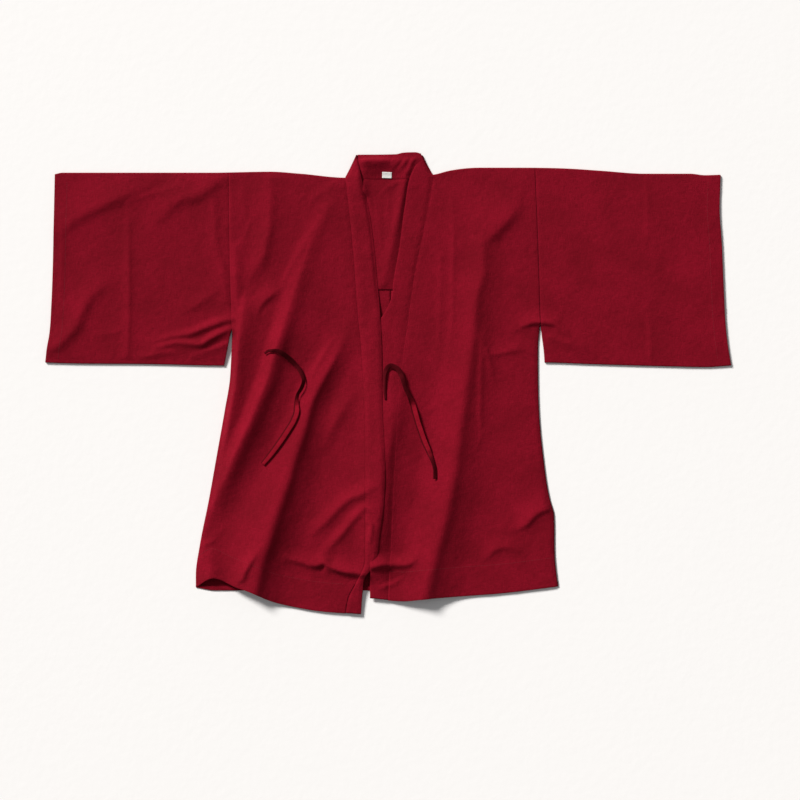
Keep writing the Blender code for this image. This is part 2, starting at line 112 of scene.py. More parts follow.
# The label's width and height, its middle, and its tilt in degrees
LABEL_SIZE = (19, 12)
LABEL_PLACE = (-2, 416)
LABEL_TILT = -2

# The wearer's right front lies on the left one. It rises by LAP_RISE within LAP_REACH of the edge
# below it, less so on the lapel, which begins at LAPEL_Y. Over the width EDGE_REACH its own free
# edge falls by EDGE_FALL, and by LAPEL_FALL more on the lapel
LAP_RISE = 2.8
LAP_REACH = 34
LAPEL_Y = 150
EDGE_REACH = 9
EDGE_FALL = 1.6
LAPEL_FALL = 1.5

# How far a front runs on below the band, how high the band stands on the front at the seam and how
# much more past it, how high a tie stands on its host, and how far a tie's middle bulges
SEAM_TUCK = 1.5
BAND_STAND = 0.45
BAND_RISE = 1.25
TIE_STAND = 0.15
TIE_CROWN = 0.35

# Lengths over which the folds fade out at the side seam and the shoulder
SIDE_FADE = 15
FOLD_FADE = 14

# Shape of a ridge, as fold_height gives it: the share and the reach of its crest, the least such
# reach in millimetres, the reach of its foot, the reaches after which it ends, the points that its
# path gets for each row, and the direction across it from its upper side to its lower one
CREST = 0.18
CREST_REACH = 0.3
LEAST_CREST = 5
FOOT_REACH = 3.0
RIDGE_END = 2.2
POINTS_PER_ROW = 6
TO_LOWER_SIDE = (0.85, -0.53)

# Starts of the random numbers behind the slight waves of single pieces
SEEDS = {"body": 31, "sleeve": 37, "collar": 41, "neck": 51, "lining": 61}

# Weave pitches, and depths of the bumps of rumples, slubs and threads, in metres
WEAVE_OF_TAPE = 0.0012
WEAVE_OF_LABEL = 0.0004
RUMPLE_DEPTH = 0.0011
SLUB_DEPTH = 0.00022
THREAD_DEPTH = 0.00006

# The step from stitch to stitch as a share of a stitch, how far stitches lie inside the hem's edge,
# the points on a line of them, and the ends of the line along a cuff
STITCH_STEP = 1.35
STITCH_INSET = 2
STITCH_POINTS = 160
CUFF_STITCH_Y = (50, 405)

# Half the floor's side and how far it lies below the jacket, in metres
FLOOR_HALF = 6.0
FLOOR_DROP = 0.0003

# Outlines that both halves share. Each row is a place x and the y there
SHOULDER_X_Y = (
    (-666, 418), (-650, 421), (-356, 421), (-236, 423), (-176, 419), (-86, 411),
    (91, 417), (124, 425), (184, 431), (244, 431), (364, 429), (424, 425), (514, 419),
    (604, 419), (634, 416), (666, 417),
)
SLEEVE_HEM_X_Y = (
    (-684, 42), (-656, 41), (-476, 39), (-328, 36), (314, 42), (404, 39), (468, 37),
    (544, 35), (634, 33), (686, 36),
)
BACK_HEM_X_Y = ((-384, -407), (-346, -413), (0, -413), (300, -408), (340, -405))
COLLAR_TOP_X_Y = ((-62, 457), (16, 458), (30, 461), (56, 462), (68, 459))

# How far the edge of the wearer's right collar band rises over its seam: y and the rise there
LIP_Y_RISE = (
    (-430, 0), (-353, 1), (-93, 0), (40, 0.8), (167, 0), (345, 0.3), (365, 1), (385, 6),
    (411, 10),
)

# Folds. A path's rows are x, y and the ridge's height there. A ridge falls away over the reach
# upper, on the side of the right shoulder, and over the reach lower, on the side of the left hem.
# Its reaches begin at the share start of those and grow on the way. The share foot of its height
# falls away over FOOT_REACH times the lower reach
Fold = namedtuple("Fold", "upper lower path start foot", defaults=(1, 0.45))

FRONT_EDGE_FOLD = Fold(80, 22, (
    (26, 40, 2), (20, -13, 8), (14, -53, 12), (2, -113, 14), (-11, -173, 15), (-13, -233, 16),
    (-20, -293, 16), (-26, -340, 13), (-28, -375, 7)), 1, 0.4)

RIGHT_FOLDS = {
    "from the collar to the side": Fold(22, 20, (
        (-96, 401, 1), (-112, 367, 2.5), (-130, 327, 3.5), (-150, 287, 5), (-164, 247, 6.5),
        (-178, 207, 9), (-190, 167, 12), (-203, 127, 16), (-216, 87, 19), (-228, 47, 21),
        (-239, 7, 22), (-252, -23, 23), (-272, -73, 24), (-292, -117, 23), (-308, -153, 21),
        (-324, -193, 15), (-346, -237, 7), (-362, -265, 2)), 0.8, 0.5),
    "from the tie to the hem": Fold(56, 14, (
        (-84, 97, 2), (-98, 67, 7), (-119, 27, 13), (-141, -13, 16), (-154, -43, 18),
        (-167, -93, 20), (-185, -145, 22), (-200, -197, 24), (-218, -249, 26), (-235, -303, 27),
        (-252, -357, 26), (-265, -417, 23)), 0.5, 0.7),
    "from the chest to the side seam": Fold(12, 22, (
        (-284, 177, 3), (-288, 150, 9), (-292, 117, 12), (-298, 77, 15), (-303, 47, 15),
        (-307, 7, 15), (-312, -33, 15), (-319, -73, 13), (-326, -113, 9), (-334, -149, 5)), 1, 0.6),
    "across the chest": Fold(24, 6, (
        (-216, 189, 1.5), (-230, 179, 5), (-246, 165, 6.5), (-258, 149, 6), (-264, 125, 3))),
    "by the front edge": FRONT_EDGE_FOLD,
    "from the shoulder to the chest": Fold(22, 12, (
        (-236, 410, 3), (-235, 377, 4.5), (-236, 327, 6), (-242, 287, 7.5), (-250, 251, 7),
        (-266, 223, 4), (-280, 197, 1.5))),
    "lift of the hem": Fold(18, 24, ((-352, -305, 2), (-354, -349, 6), (-354, -401, 12))),
    "along the armhole": Fold(8, 12, ((-304, 273, 2), (-303, 203, 4), (-298, 140, 3))),
    "at the side seam": Fold(8, 6, ((-380, -323, 4), (-356, -319, 4), (-336, -301, 1.5))),
    "broad one at the edge": Fold(22, 16, ((-72, -1, 1), (-86, -73, 2), (-100, -157, 1))),
    "sleeve top": Fold(34, 12, (
        (-652, 303, 2.5), (-626, 327, 5), (-584, 349, 6), (-534, 373, 6), (-474, 399, 2)), 1, 0.35),
    "sleeve top, third": Fold(34, 12, (
        (-450, 335, 2.5), (-418, 367, 5.5), (-378, 377, 6.5), (-352, 397, 5), (-326, 413, 2)), 1, 0.35),
    "cuff corner": Fold(28, 12, (
        (-684, 70, 3), (-660, 75, 6.5), (-644, 91, 7), (-628, 107, 7), (-614, 137, 6),
        (-594, 173, 5), (-556, 203, 1.5)), 1, 0.3),
    "underarm, lower": Fold(9, 6, (
        (-464, 71, 3), (-420, 81, 6), (-376, 78, 9), (-354, 90, 9), (-324, 105, 6),
        (-300, 113, 2))),
    "underarm, upper": Fold(9, 6, (
        (-476, 81, 1), (-428, 94, 4), (-398, 99, 6), (-368, 110, 7), (-348, 118, 7),
        (-320, 127, 5), (-296, 130, 3))),
    "slit corner": Fold(6, 8, ((-392, 57, 2), (-356, 67, 4), (-328, 77, 4))),
}
LEFT_FOLDS = {
    "from the chest to the hem": Fold(50, 15, (
        (186, 300, 3), (188, 280, 8), (190, 227, 10), (177, 177, 12), (170, 107, 13),
        (163, 47, 14), (154, -13, 15), (146, -73, 17), (138, -133, 19), (129, -193, 21),
        (117, -253, 22), (102, -313, 22), (87, -373, 22), (74, -429, 18)), 0.7, 0.7),
    "from the armhole": Fold(60, 14, (
        (262, 361, 3), (248, 341, 7), (233, 323, 9.5), (213, 303, 9.5), (196, 287, 6)), 1, 0.3),
    "at the side seam": Fold(26, 6, (
        (256, -289, 2), (274, -283, 6), (290, -265, 7), (308, -253, 7), (330, -250, 5))),
    "small one by the hem": Fold(18, 5, (
        (198, -347, 2), (216, -331, 4), (234, -327, 4), (264, -335, 1.5))),
    "by the front edge": FRONT_EDGE_FOLD,
    "across the sleeve": Fold(22, 9, (
        (384, 305, 2), (428, 271, 4), (468, 223, 4.5), (516, 173, 4), (554, 133, 2))),
    "under the slit": Fold(8, 8, ((324, 93, 2), (350, 83, 3), (380, 67, 1.5))),
}

# Narrow creases, added to the height of the folds that they cross
RIGHT_CREASES = {
    "rumple by the edge": Fold(15, 9, (
        (-30, -205, 3), (-52, -219, 7), (-80, -231, 8), (-100, -249, 8), (-120, -271, 7),
        (-148, -297, 3))),
    "rumple below it": Fold(12, 8, (
        (-48, -247, 5), (-72, -273, 8), (-92, -299, 8), (-114, -323, 5), (-134, -347, 2.5))),
    "step of the hem": Fold(16, 6, (
        (-198, -349, 3), (-170, -357, 7), (-146, -363, 9), (-128, -358, 10), (-112, -367, 12),
        (-84, -375, 13), (-52, -380, 8), (-26, -386, 2)), 1, 0.25),
    "beside the fold to the hem": Fold(20, 12, ((-74, -25, 2), (-104, -73, 6), (-128, -125, 3))),
    "at the hem": Fold(14, 4, ((-258, -335, 2), (-270, -352, 7), (-282, -373, 8), (-290, -391, 6))),
    "beside the fold from the collar": Fold(8, 6, (
        (-138, 323, 0.6), (-162, 287, 1.6), (-186, 247, 1.8), (-206, 207, 1.6), (-222, 171, 0.8))),
    "at the neck": Fold(10, 5, ((-98, 409, 1), (-118, 391, 1.6), (-150, 367, 1))),
    "top of the fold to the hem": Fold(6, 5, ((-112, 85, 1), (-130, 55, 2.4), (-150, 19, 1.5))),
    "at the edge of the band": Fold(6, 5, ((-44, -267, 2), (-33, -285, 5), (-36, -313, 3))),
    "above it": Fold(6, 5, ((-50, -239, 1.5), (-34, -251, 4), (-22, -267, 3))),
    "small one at the chest": Fold(6, 6, ((-270, 331, 1), (-290, 283, 0.8))),
    "small one above it": Fold(6, 5, ((-290, 387, 1), (-284, 343, 0.8))),
    "sleeve top, second": Fold(8, 6, ((-516, 363, 1), (-476, 377, 1.6), (-420, 393, 1))),
    "beside the armhole": Fold(16, 9, (
        (-350, 381, 1.5), (-346, 323, 3), (-342, 263, 3), (-330, 223, 3), (-324, 167, 2))),
    "by the cuff corner": Fold(7, 5, ((-584, 95, 0.8), (-538, 103, 1.2))),
    "underarm, lowest": Fold(7, 5, ((-490, 53, 1.5), (-462, 59, 2.5), (-426, 63, 1.5))),
    "above the underarm": Fold(16, 8, ((-404, 145, 2), (-376, 161, 3), (-346, 183, 2))),
    "pressed line": Fold(12, 4, ((-518, 325, 1), (-517, 247, 2.4), (-517, 157, 2.6), (-521, 53, 2))),
    "pressed line at the cuff": Fold(5, 4, ((-650, 321, 0.6), (-652, 241, 0.9), (-656, 137, 0.6))),
}
LEFT_CREASES = {
    "over the front hem": Fold(14, 7, (
        (-32, -366, 9), (-6, -361, 11), (18, -361, 11), (40, -359, 9), (56, -347, 2))),
    "at the slit": Fold(16, 4, (
        (262, 112, 1.5), (276, 117, 4.5), (296, 122, 6), (316, 121, 6), (334, 117, 5.5),
        (352, 103, 4.5), (368, 87, 3), (396, 67, 1.5)), 1, 0.3),
    "beside the long fold": Fold(5, 6, ((188, 97, 1), (186, 31, 2), (184, -33, 2), (186, -97, 1))),
    "line on the chest": Fold(7, 5, (
        (126, 385, 0.6), (131, 311, 1.2), (130, 217, 1.6), (128, 119, 1.2), (122, 47, 0.6))),
    "line by the collar": Fold(6, 4, ((106, 255, 0.6), (104, 167, 1.1), (102, 77, 0.6))),
    "across the waist": Fold(14, 4, ((196, 55, 1.5), (234, 62, 3), (266, 68, 2), (288, 62, 1))),
    "from the waist": Fold(12, 5, ((188, 88, 2), (198, 62, 3), (206, 30, 2), (210, 0, 1))),
    "at the front corner": Fold(6, 4, ((-14, -409, 2), (12, -399, 2.4), (28, -389, 1.5))),
    "beside the tie": Fold(6, 5, ((66, -79, 0.6), (76, -119, 1.2), (84, -169, 0.8))),
    "pressed line": Fold(5, 4, ((522, 133, 0.8), (525, 83, 1.2), (526, 43, 1))),
    "pressed line above": Fold(5, 4, ((516, 411, 0.6), (519, 351, 1), (518, 291, 0.6))),
}
NECK_FOLDS = {
    "roll along the top": Fold(10, 15, (
        (-58, 442, 5), (-40, 444, 10), (-16, 444, 9), (6, 440, 4)), 1, 0.2),
    "first wrinkle": Fold(5, 4, ((30, 456, 1), (18, 440, 3.4), (5, 424, 1.5))),
    "second wrinkle": Fold(5, 4, ((44, 457, 1), (33, 441, 4), (20, 424, 1.5))),
    "third wrinkle": Fold(5, 3, ((56, 455, 2), (47, 440, 4.5), (39, 420, 3))),
}
LINING_FOLDS = {
    "under the right lapel": Fold(6, 12, (
        (-57, 411, 4), (-53, 398, 7.5), (-50, 384, 7), (-45, 368, 2.5)), 1, 0.2),
    "under the label": Fold(6, 4, ((42, 409, 1), (22, 402, 2), (-4, 389, 1.4), (-16, 375, 0.6))),
    "beside the left lapel": Fold(12, 8, (
        (34, 404, 4), (24, 353, 5), (13, 303, 4.5), (5, 263, 4), (-3, 223, 3), (-10, 193, 2))),
    "along the middle": Fold(9, 7, ((2, 369, 1), (2, 327, 1.8), (-2, 277, 1.4), (-8, 237, 0.8))),
    "beside the right lapel": Fold(7, 9, ((-24, 361, 0.8), (-16, 311, 1.4), (-10, 263, 0.8))),
}

# Ties. A path's rows are x, y, the tape's width, its turn about its own line in degrees, where
# plus lifts the side to the left of its run, how far it stands off the cloth below, and how much
# painted shade darkens its colour there, for the shade on its arch and its tip
RIGHT_TIE_PATH = (
    (-246, 60, 5, 0, 0, 0.8), (-236, 65, 6, 20, 1, 1), (-222, 65, 9, 30, 2, 1),
    (-206, 57, 11, 30, 2.5, 1), (-194, 47, 11, 20, 2.5, 1), (-182, 35, 8, 0, 2.5, 1),
    (-172, 19, 9, -30, 2, 1), (-168, 5, 10, -44, 2, 1), (-172, -9, 10, -44, 2, 1),
    (-180, -23, 8, -36, 2, 0.9), (-182, -39, 9, -6, 1, 0.3), (-182, -53, 12, 12, 0.5, 0),
    (-189, -75, 12, 14, 0.5, 0), (-200, -93, 12, 14, 0.5, 0), (-216, -117, 12, 14, 0.5, 0),
    (-233, -140, 11, 12, 0.5, 0), (-250, -161, 9, 8, 0.5, 0),
)
LEFT_TIE_PATH = (
    (-5, -32, 4, 0, 0, 1), (-7, -10, 5, -20, 0.5, 1), (-7, 12, 6, -30, 1, 1),
    (-4, 27, 9, 0, 2, 1), (5, 35, 11, 20, 2, 1), (18, 30, 11, 20, 2.5, 1),
    (28, 13, 10, -14, 2.5, 1), (35, -9, 11, -36, 2, 1), (43, -26, 11, -36, 2, 0.9),
    (49, -41, 11, -6, 1, 0.2), (54, -59, 12, 16, 1, 0), (59, -77, 12, 18, 1, 0),
    (65, -95, 12, 18, 1, 0), (72, -115, 12, 18, 1, 0), (80, -133, 11, 14, 1, 0.2),
    (87, -150, 9, -24, 1.5, 0.9), (93, -170, 8, -34, 1, 1), (94, -190, 8, -10, 0, 1),
)

# A half's outlines and its stretch of the collar. Each row is a place y and the x there, but in
# front_hem x and the y there. The edge is the band's free one, and turn is its line past the
# shoulder. lap is true for the front that lies on the other one
Half = namedtuple(
    "Half", "name side armhole slit cuff seam edge turn front_hem neck_x folds creases lap")
RIGHT = Half(
    name="right",
    side=(
        (-407, -384), (-383, -384), (-323, -376), (-233, -358), (-143, -342), (-53, -326), (7, -316),
        (37, -314), (107, -311),
    ),
    armhole=((107, -312), (240, -316), (423, -318)),
    slit=((36, -328), (67, -322), (97, -316), (107, -313)),
    cuff=((36, -685), (67, -681), (97, -676), (157, -672), (277, -668), (421, -665)),
    seam=(
        (-456, -86), (-427, -80), (-393, -62), (-353, -46), (-113, -46), (39, -52), (147, -62),
        (267, -71), (411, -86),
    ),
    edge=(
        (-463, -54), (-413, -50), (-387, -46), (-367, -30), (-303, -16), (-177, -5), (-33, -11),
        (77, -12), (147, -16), (207, -21), (367, -42), (407, -52), (457, -61),
    ),
    turn=((411, -86), (432, -75), (457, -63)),
    front_hem=(
        (-384, -407), (-352, -388), (-310, -405), (-276, -416), (-238, -433), (-162, -451), (-54, -461),
    ),
    neck_x=-86, folds=RIGHT_FOLDS, creases=RIGHT_CREASES, lap=True)
LEFT = Half(
    name="left",
    side=(
        (-405, 340), (-353, 334), (-263, 332), (-233, 324), (-143, 310), (-53, 302), (67, 300),
        (119, 304),
    ),
    armhole=((119, 305), (280, 300), (431, 294)),
    slit=((41, 314), (67, 312), (97, 308), (119, 306)),
    cuff=((32, 686), (67, 680), (97, 676), (197, 670), (287, 666), (347, 662), (419, 664)),
    seam=(
        (-431, 2), (-173, 13), (57, 30), (103, 38), (177, 48), (223, 55), (267, 64), (343, 79),
        (415, 91),
    ),
    edge=(
        (-431, -36), (-233, -36), (-73, -32), (57, -26), (123, -18), (143, -6), (163, 4), (213, 12),
        (267, 22), (357, 34), (417, 46), (457, 67),
    ),
    turn=((415, 91), (434, 80), (457, 69)),
    front_hem=((-36, -429), (28, -434), (78, -429), (140, -425), (224, -419), (340, -405)),
    neck_x=91, folds=LEFT_FOLDS, creases=LEFT_CREASES, lap=False)


def length_of(name, description, default, least, most):
    """A length in metres that the user can change."""
    return FloatProperty(
        name=name, description=description, default=default, min=least, max=most, unit="LENGTH")


def shade_of(name, description, default):
    """A colour that the user can change."""
    return FloatVectorProperty(
        name=name, description=description, default=default, subtype="COLOR", size=3, min=0, max=1)


class JacketSizes(bpy.types.PropertyGroup):
    """Thicknesses, mesh pitch and the strength of the relief."""

    cloth: length_of("Cloth", "Thickness of the body and sleeve cloth", 0.0008, 0.0003, 0.003)
    collar: length_of("Collar band", "Thickness of the folded collar band", 0.0022, 0.001, 0.004)
    lining: length_of("Lining", "Thickness of the shoulder lining", 0.0006, 0.0003, 0.002)
    label: length_of("Label", "Thickness of the neck label", 0.0007, 0.0003, 0.002)
    tape: length_of("Tie", "Thickness of the folded tape of the ties", 0.0011, 0.0005, 0.002)
    lip: length_of("Hem lip", "Depth of cloth turned under at hems and cuffs", 0.008, 0.002, 0.03)
    hem: length_of("Hem", "Height of the sewn hem above the lower edge", 0.060, 0.01, 0.1)
    cuff: length_of("Cuff hem", "Width of the sewn hem at the sleeve ends", 0.026, 0.01, 0.06)
    crumple: length_of("Crumple", "Height of the small wrinkles between the folds", 0.0006, 0.0, 0.003)
    pitch: length_of(
        "Mesh pitch", "Distance between mesh points on the upper layer", 0.003, 0.002, 0.02)
    weave: length_of("Weave pitch", "Distance between neighbouring threads", 0.0007, 0.0003, 0.003)
    stitch: length_of("Stitch", "Length of one stitch of the sewing thread", 0.0028, 0.001, 0.01)
    seed: IntProperty(
        name="Seed", description="Start of the random numbers behind the small wrinkles",
        default=7, min=0)


class JacketColours(bpy.types.PropertyGroup):
    """Colours of the cloths, the thread and the label."""

    cloth: shade_of("Cloth", "Wine red of the outer cloth", (0.180, 0.0022, 0.0108))
    cloth_light: shade_of(
        "Cloth, light threads", "Lighter threads and rubbed places", (0.238, 0.0042, 0.0168))
    cloth_dark: shade_of(
        "Cloth, dark threads", "Darker threads and gaps of the weave", (0.130, 0.0013, 0.0068))
    lining: shade_of("Lining", "Red of the shoulder lining", (0.174, 0.0021, 0.0104))
    # The ties' red is the cloth's red made lighter, as a painted highlight of their lit faces
    tape: shade_of("Ties", "Darker red of the ties", (0.212, 0.0030, 0.0120))
    thread: shade_of("Thread", "Red of the sewing thread", (0.150, 0.0070, 0.0140))
    label: shade_of("Label", "White of the neck label", (0.80, 0.79, 0.76))


class JacketStage(bpy.types.PropertyGroup):
    """Camera, lights and floor."""

    camera_x: length_of("Camera X", "Place of the camera across the jacket", 0.024, -5, 5)
    camera_y: length_of("Camera Y", "Place of the camera along the jacket", -0.033, -5, 5)
    camera_height: length_of("Camera height", "Height of the camera over the floor", 4.0, 0.5, 50)
    lens: FloatProperty(
        name="Lens", description="Focal length in millimetres", default=90, min=20, unit="CAMERA")
    key_strength: FloatProperty(
        name="Key light", description="Strength of the light from the upper left",
        default=5.4, min=0)
    key_spread: FloatProperty(
        name="Key spread", description="Angle that the key light fills, seen from the jacket",
        default=math.radians(16), subtype="ANGLE")
    key_height: FloatProperty(
        name="Key height", description="Angle of the key light above the floor",
        default=math.radians(30), subtype="ANGLE")
    key_turn: FloatProperty(
        name="Key turn", description="Angle of the key light from -X towards +Y",
        default=math.radians(48), subtype="ANGLE")
    fill_strength: FloatProperty(
        name="Fill light", description="Strength of the even light all round",
        default=0.26, min=0)
    floor: shade_of("Floor", "Colour of the pale floor", (0.88, 0.87, 0.86))


def size(name):
    """One of the user's lengths, in millimetres."""
    return getattr(bpy.context.scene.jacket_sizes, name) / MM


def read(table, at):
    """Second column at a value of the first: a cubic Hermite curve through the sorted rows. Its
    slopes are the mean slopes there, held so that the curve never runs past a row."""
    knots, values = np.array(sorted(table), float).T
    at = np.clip(at, knots[0], knots[-1])
    chords = np.abs(np.diff(values) / np.diff(knots))
    turning = np.diff(values)[1:] * np.diff(values)[:-1] <= 0
    limit = np.where(turning, 0, 3 * np.minimum(chords[1:], chords[:-1]))
    slopes = np.gradient(values, knots)
    slopes[1:-1] = np.clip(slopes[1:-1], -limit, limit)
    k = np.clip(np.searchsorted(knots, at) - 1, 0, len(knots) - 2)
    step = knots[k + 1] - knots[k]
    t = (at - knots[k]) / step
    start = values[k] * (1 + 2 * t) * (1 - t) ** 2 + slopes[k] * step * t * (1 - t) ** 2
    end = values[k + 1] * t**2 * (3 - 2 * t) + slopes[k + 1] * step * t**2 * (t - 1)
    return start + end


def ease(t):
    """3t² - 2t³ with t held between 0 and 1."""
    t = np.clip(t, 0, 1)
    return t * t * (3 - 2 * t)


def mix(a, b, t):
    """a at t = 0 and b at t = 1, in a straight line."""
    return a + (b - a) * t


def bell(distance, reach):
    """exp(-(distance / reach)²)."""
    return np.exp(-((distance / reach) ** 2))


@cache
def walk(path, count):
    """Spreads count points evenly along a smooth curve through the path's rows."""
    rows = np.array(path, float)
    run = np.append(0, np.cumsum(np.hypot(*np.diff(rows[:, :2], axis=0).T)))
    at = np.linspace(0, run[-1], count)
    return np.stack([read(tuple(zip(run, column)), at) for column in rows.T], axis=1)


def noise(x, y, pitch, seed, lattice=97, lean=0.6):
    """Gradient noise from -1 to 1: random directions on a square lattice that leans by 0.6 radians,
    each giving direction · offset at its corner, eased together across the cell."""
    turns = np.random.default_rng(seed).uniform(0, 2 * np.pi, (lattice, lattice))
    u = (x * math.cos(lean) - y * math.sin(lean)) / pitch
    v = (x * math.sin(lean) + y * math.cos(lean)) / pitch
    i, j = np.floor(u).astype(int), np.floor(v).astype(int)
    fu, fv = u - i, v - j

    def corner(a, b):
        turn = turns[(i + a) % lattice, (j + b) % lattice]
        return np.cos(turn) * (fu - a) + np.sin(turn) * (fv - b)

    low = mix(corner(0, 0), corner(1, 0), ease(fu))
    high = mix(corner(0, 1), corner(1, 1), ease(fu))
    return 1.4 * mix(low, high, ease(fv))


def fold_height(folds, x, y):
    """Cube root of the sum of cubed ridges. A ridge is its height at the nearest place on its path,
    times two bells of the distance d from there. On the upper side these are
    (1 - CREST) bell(d, upper) + CREST bell(d, CREST_REACH upper), and on the lower side
    (1 - foot) bell(d, lower) + foot bell(d, FOOT_REACH lower)."""
    cubes = np.zeros(x.shape)
    for fold in folds:
        count = POINTS_PER_ROW * len(fold.path)
        ridge = walk(fold.path, count)
        reach = RIDGE_END * max(fold.upper, FOOT_REACH * fold.lower)
        low, high = ridge[:, :2].min(0) - reach, ridge[:, :2].max(0) + reach
        near = (x > low[0]) & (x < high[0]) & (y > low[1]) & (y < high[1])
        if not near.any():
            continue
        start, run = ridge[:-1, :2], np.diff(ridge[:, :2], axis=0)
        offset = np.stack([x[near], y[near]], axis=-1)[:, None] - start
        t = np.clip((offset * run).sum(-1) / (run**2).sum(-1), 0, 1)
        away = offset - t[..., None] * run
        distance = np.hypot(away[..., 0], away[..., 1])
        pick = np.arange(len(distance)), distance.argmin(-1)
        away, distance, t = away[pick], distance[pick], t[pick]
        height = mix(ridge[:-1, 2][pick[1]], ridge[1:, 2][pick[1]], t)
        growth = mix(fold.start, 1, ease(1.3 * (pick[1] + t) / count))
        side = away @ TO_LOWER_SIDE / np.maximum(distance, 0.01)
        upper, lower = fold.upper * growth, fold.lower * growth
        sharp = np.maximum(CREST_REACH * upper, LEAST_CREST)
        crest = mix(bell(distance, upper), bell(distance, sharp), CREST)
        foot = mix(bell(distance, lower), bell(distance, FOOT_REACH * lower), fold.foot)
        cubes[near] += (height * mix(crest, foot, ease(1.2 * side + 0.5))) ** 3
    return np.cbrt(cubes)


@cache
def small_creases(seed, count=260):
    """Short bent ridges at random places: a middle, a heading and a bend give three points each."""
    rng = np.random.default_rng(seed)
    creases = []
    for _ in range(count):
        x, y = rng.uniform(-680, 680), rng.uniform(-450, 420)
        turn, length = rng.normal(1.25, 0.8), rng.uniform(18, 70)
        bend, height = rng.uniform(-0.2, 0.2) * length, rng.uniform(0.25, 1.0)
        place, along = np.array((x, y)), np.array((math.cos(turn), math.sin(turn)))
        middle = place + bend * np.array((-along[1], along[0]))
        ends = place - length / 2 * along, place + length / 2 * along
        path = ((*ends[0], 0.1 * height), (*middle, height), (*ends[1], 0.1 * height))
        creases.append(Fold(rng.uniform(5, 11), rng.uniform(3, 6), path))
    return creases


def crumple(x, y):
    """Small wrinkles: noise at four pitches and short creases, scaled by the crumple size."""
    seed = bpy.context.scene.jacket_sizes.seed
    layers = ((1.0, 1, 120), (0.8, 0.6, 52), (0.45, 1, 24), (0.16, 1, 10))
    rough = sum(share * noise(x, drawn * y, pitch, seed + k)
                for k, (share, drawn, pitch) in enumerate(layers))
    return size("crumple") * (rough + fold_height(small_creases(seed), x, y))


def side_x(half, y):
    """The body's side: the armhole seam above its foot and the side seam below it."""
    return np.where(y > half.armhole[0][0], read(half.armhole, y), read(half.side, y))


def seam_relief(distance, along):
    """Ditch and puckers of a seam: -0.7 bell(distance / 3 mm), and beside it a ripple along the seam
    of 0.36 mm at most that dies off over 16 mm."""
    ditch = bell(distance, 3)
    ripple = np.sin(along / 3.1) + np.sin(along / 4.3 + 1)
    return -0.7 * ditch + 0.18 * ripple * np.exp(-distance / 16) * (1 - ditch)


def upper_z(half, x, y):
    """Middle of the upper layer: its level height, the folds and small wrinkles faded out at the
    shoulder fold and the side seam, the fall to the side seam, the seams and the rise of the lap."""
    fade = ease((read(SHOULDER_X_Y, x) - y) / FOLD_FADE)
    foot, side = half.armhole[0][0], side_x(half, y)
    beside = np.abs(x - side) / SIDE_FADE
    below = ease((foot - y) / SIDE_FADE) * (np.abs(x) < np.abs(side) + 0.5)
    hold = 1 - below * (1 - ease(beside))
    folds = fold_height(half.folds.values(), x, y) + fold_height(half.creases.values(), x, y)
    z = FRONT_Z + (folds + crumple(x, y)) * fade * hold
    z = z - (FRONT_Z - SIDE_SEAM_Z) * below * (1 - ease(2 * beside))
    depth = fade if half.lap else 0.6 * fade
    seam = read(half.seam, y)
    z = z + seam_relief(np.abs(x - read(half.armhole, y)), y) * depth * ease((y - foot) / 10)
    z = z + seam_relief(np.abs(x - seam), y + 40) * depth * ease((y - 10) / 90)
    if half.lap:
        lapel = ease((y - LAPEL_Y) / 50)
        over = ease((x - read(LEFT.edge, y) + LAP_REACH + 2) / LAP_REACH)
        edge = read(half.edge, y)
        z = z + LAP_RISE * (1 - 0.6 * lapel) * over
        z = z + read(LIP_Y_RISE, y) * ease((x - seam) / (edge - seam))
        z = z - (EDGE_FALL + LAPEL_FALL * lapel) * ease((x - edge + EDGE_REACH) / EDGE_REACH)
    return np.maximum(z, LOWEST_Z)


class Value:
    """A shader number that varies over the surface: an expression on it adds its Math nodes."""

    def __init__(self, finish, socket):
        self.finish, self.socket = finish, socket

    def maths(self, operation, *others):
        inputs = dict(enumerate((self, *others)))
        return self.finish.value("ShaderNodeMath", {"operation": operation}, inputs)

    def __add__(self, other):
        return self.maths("ADD", other)

    def __mul__(self, other):
        return self.maths("MULTIPLY", other)

    def __sub__(self, other):
        return self.maths("SUBTRACT", other)


class Finish:
    """A material under construction, with one method for nodes and one for the shader's sockets."""

    def __init__(self, name):
        self.material = bpy.data.materials.new(name)
        self.material.use_nodes = True
        self.tree = self.material.node_tree
        self.shader = self.tree.nodes["Principled BSDF"]

    def node(self, kind, settings=None, inputs=None):
        made = self.tree.nodes.new(kind)
        for key, setting in (settings or {}).items():
            setattr(made, key, setting)
        for key, source in (inputs or {}).items():
            self.feed(made.inputs[key], source)
        return made

    def value(self, kind, settings=None, inputs=None, output=0):
        return Value(self, self.node(kind, settings, inputs).outputs[output])

    def feed(self, socket, source):
        if isinstance(source, Value):
            source = source.socket
        if isinstance(source, bpy.types.NodeSocket):
            self.tree.links.new(source, socket)
        else:
            socket.default_value = source

    def blend(self, factor, first, second):
        """Colour between first and second. The node's inputs 6 and 7 are its two colours."""
        settings = {"data_type": "RGBA", "clamp_factor": True}
        return self.node("ShaderNodeMix", settings, {0: factor, 6: first, 7: second}).outputs[2]

    def bump(self, height, distance, before=None):
        inputs = {"Height": height, "Distance": distance, "Strength": 1.0}
        if before is not None:
            inputs["Normal"] = before
        return self.node("ShaderNodeBump", None, inputs).outputs["Normal"]

    def shade(self, **sockets):
        for name, source in sockets.items():
            self.feed(self.shader.inputs[name.replace("_", " ")], source)
        return self.material


def colour(value):
    """A colour with its alpha, as sockets take it."""
    return (*value, 1.0)


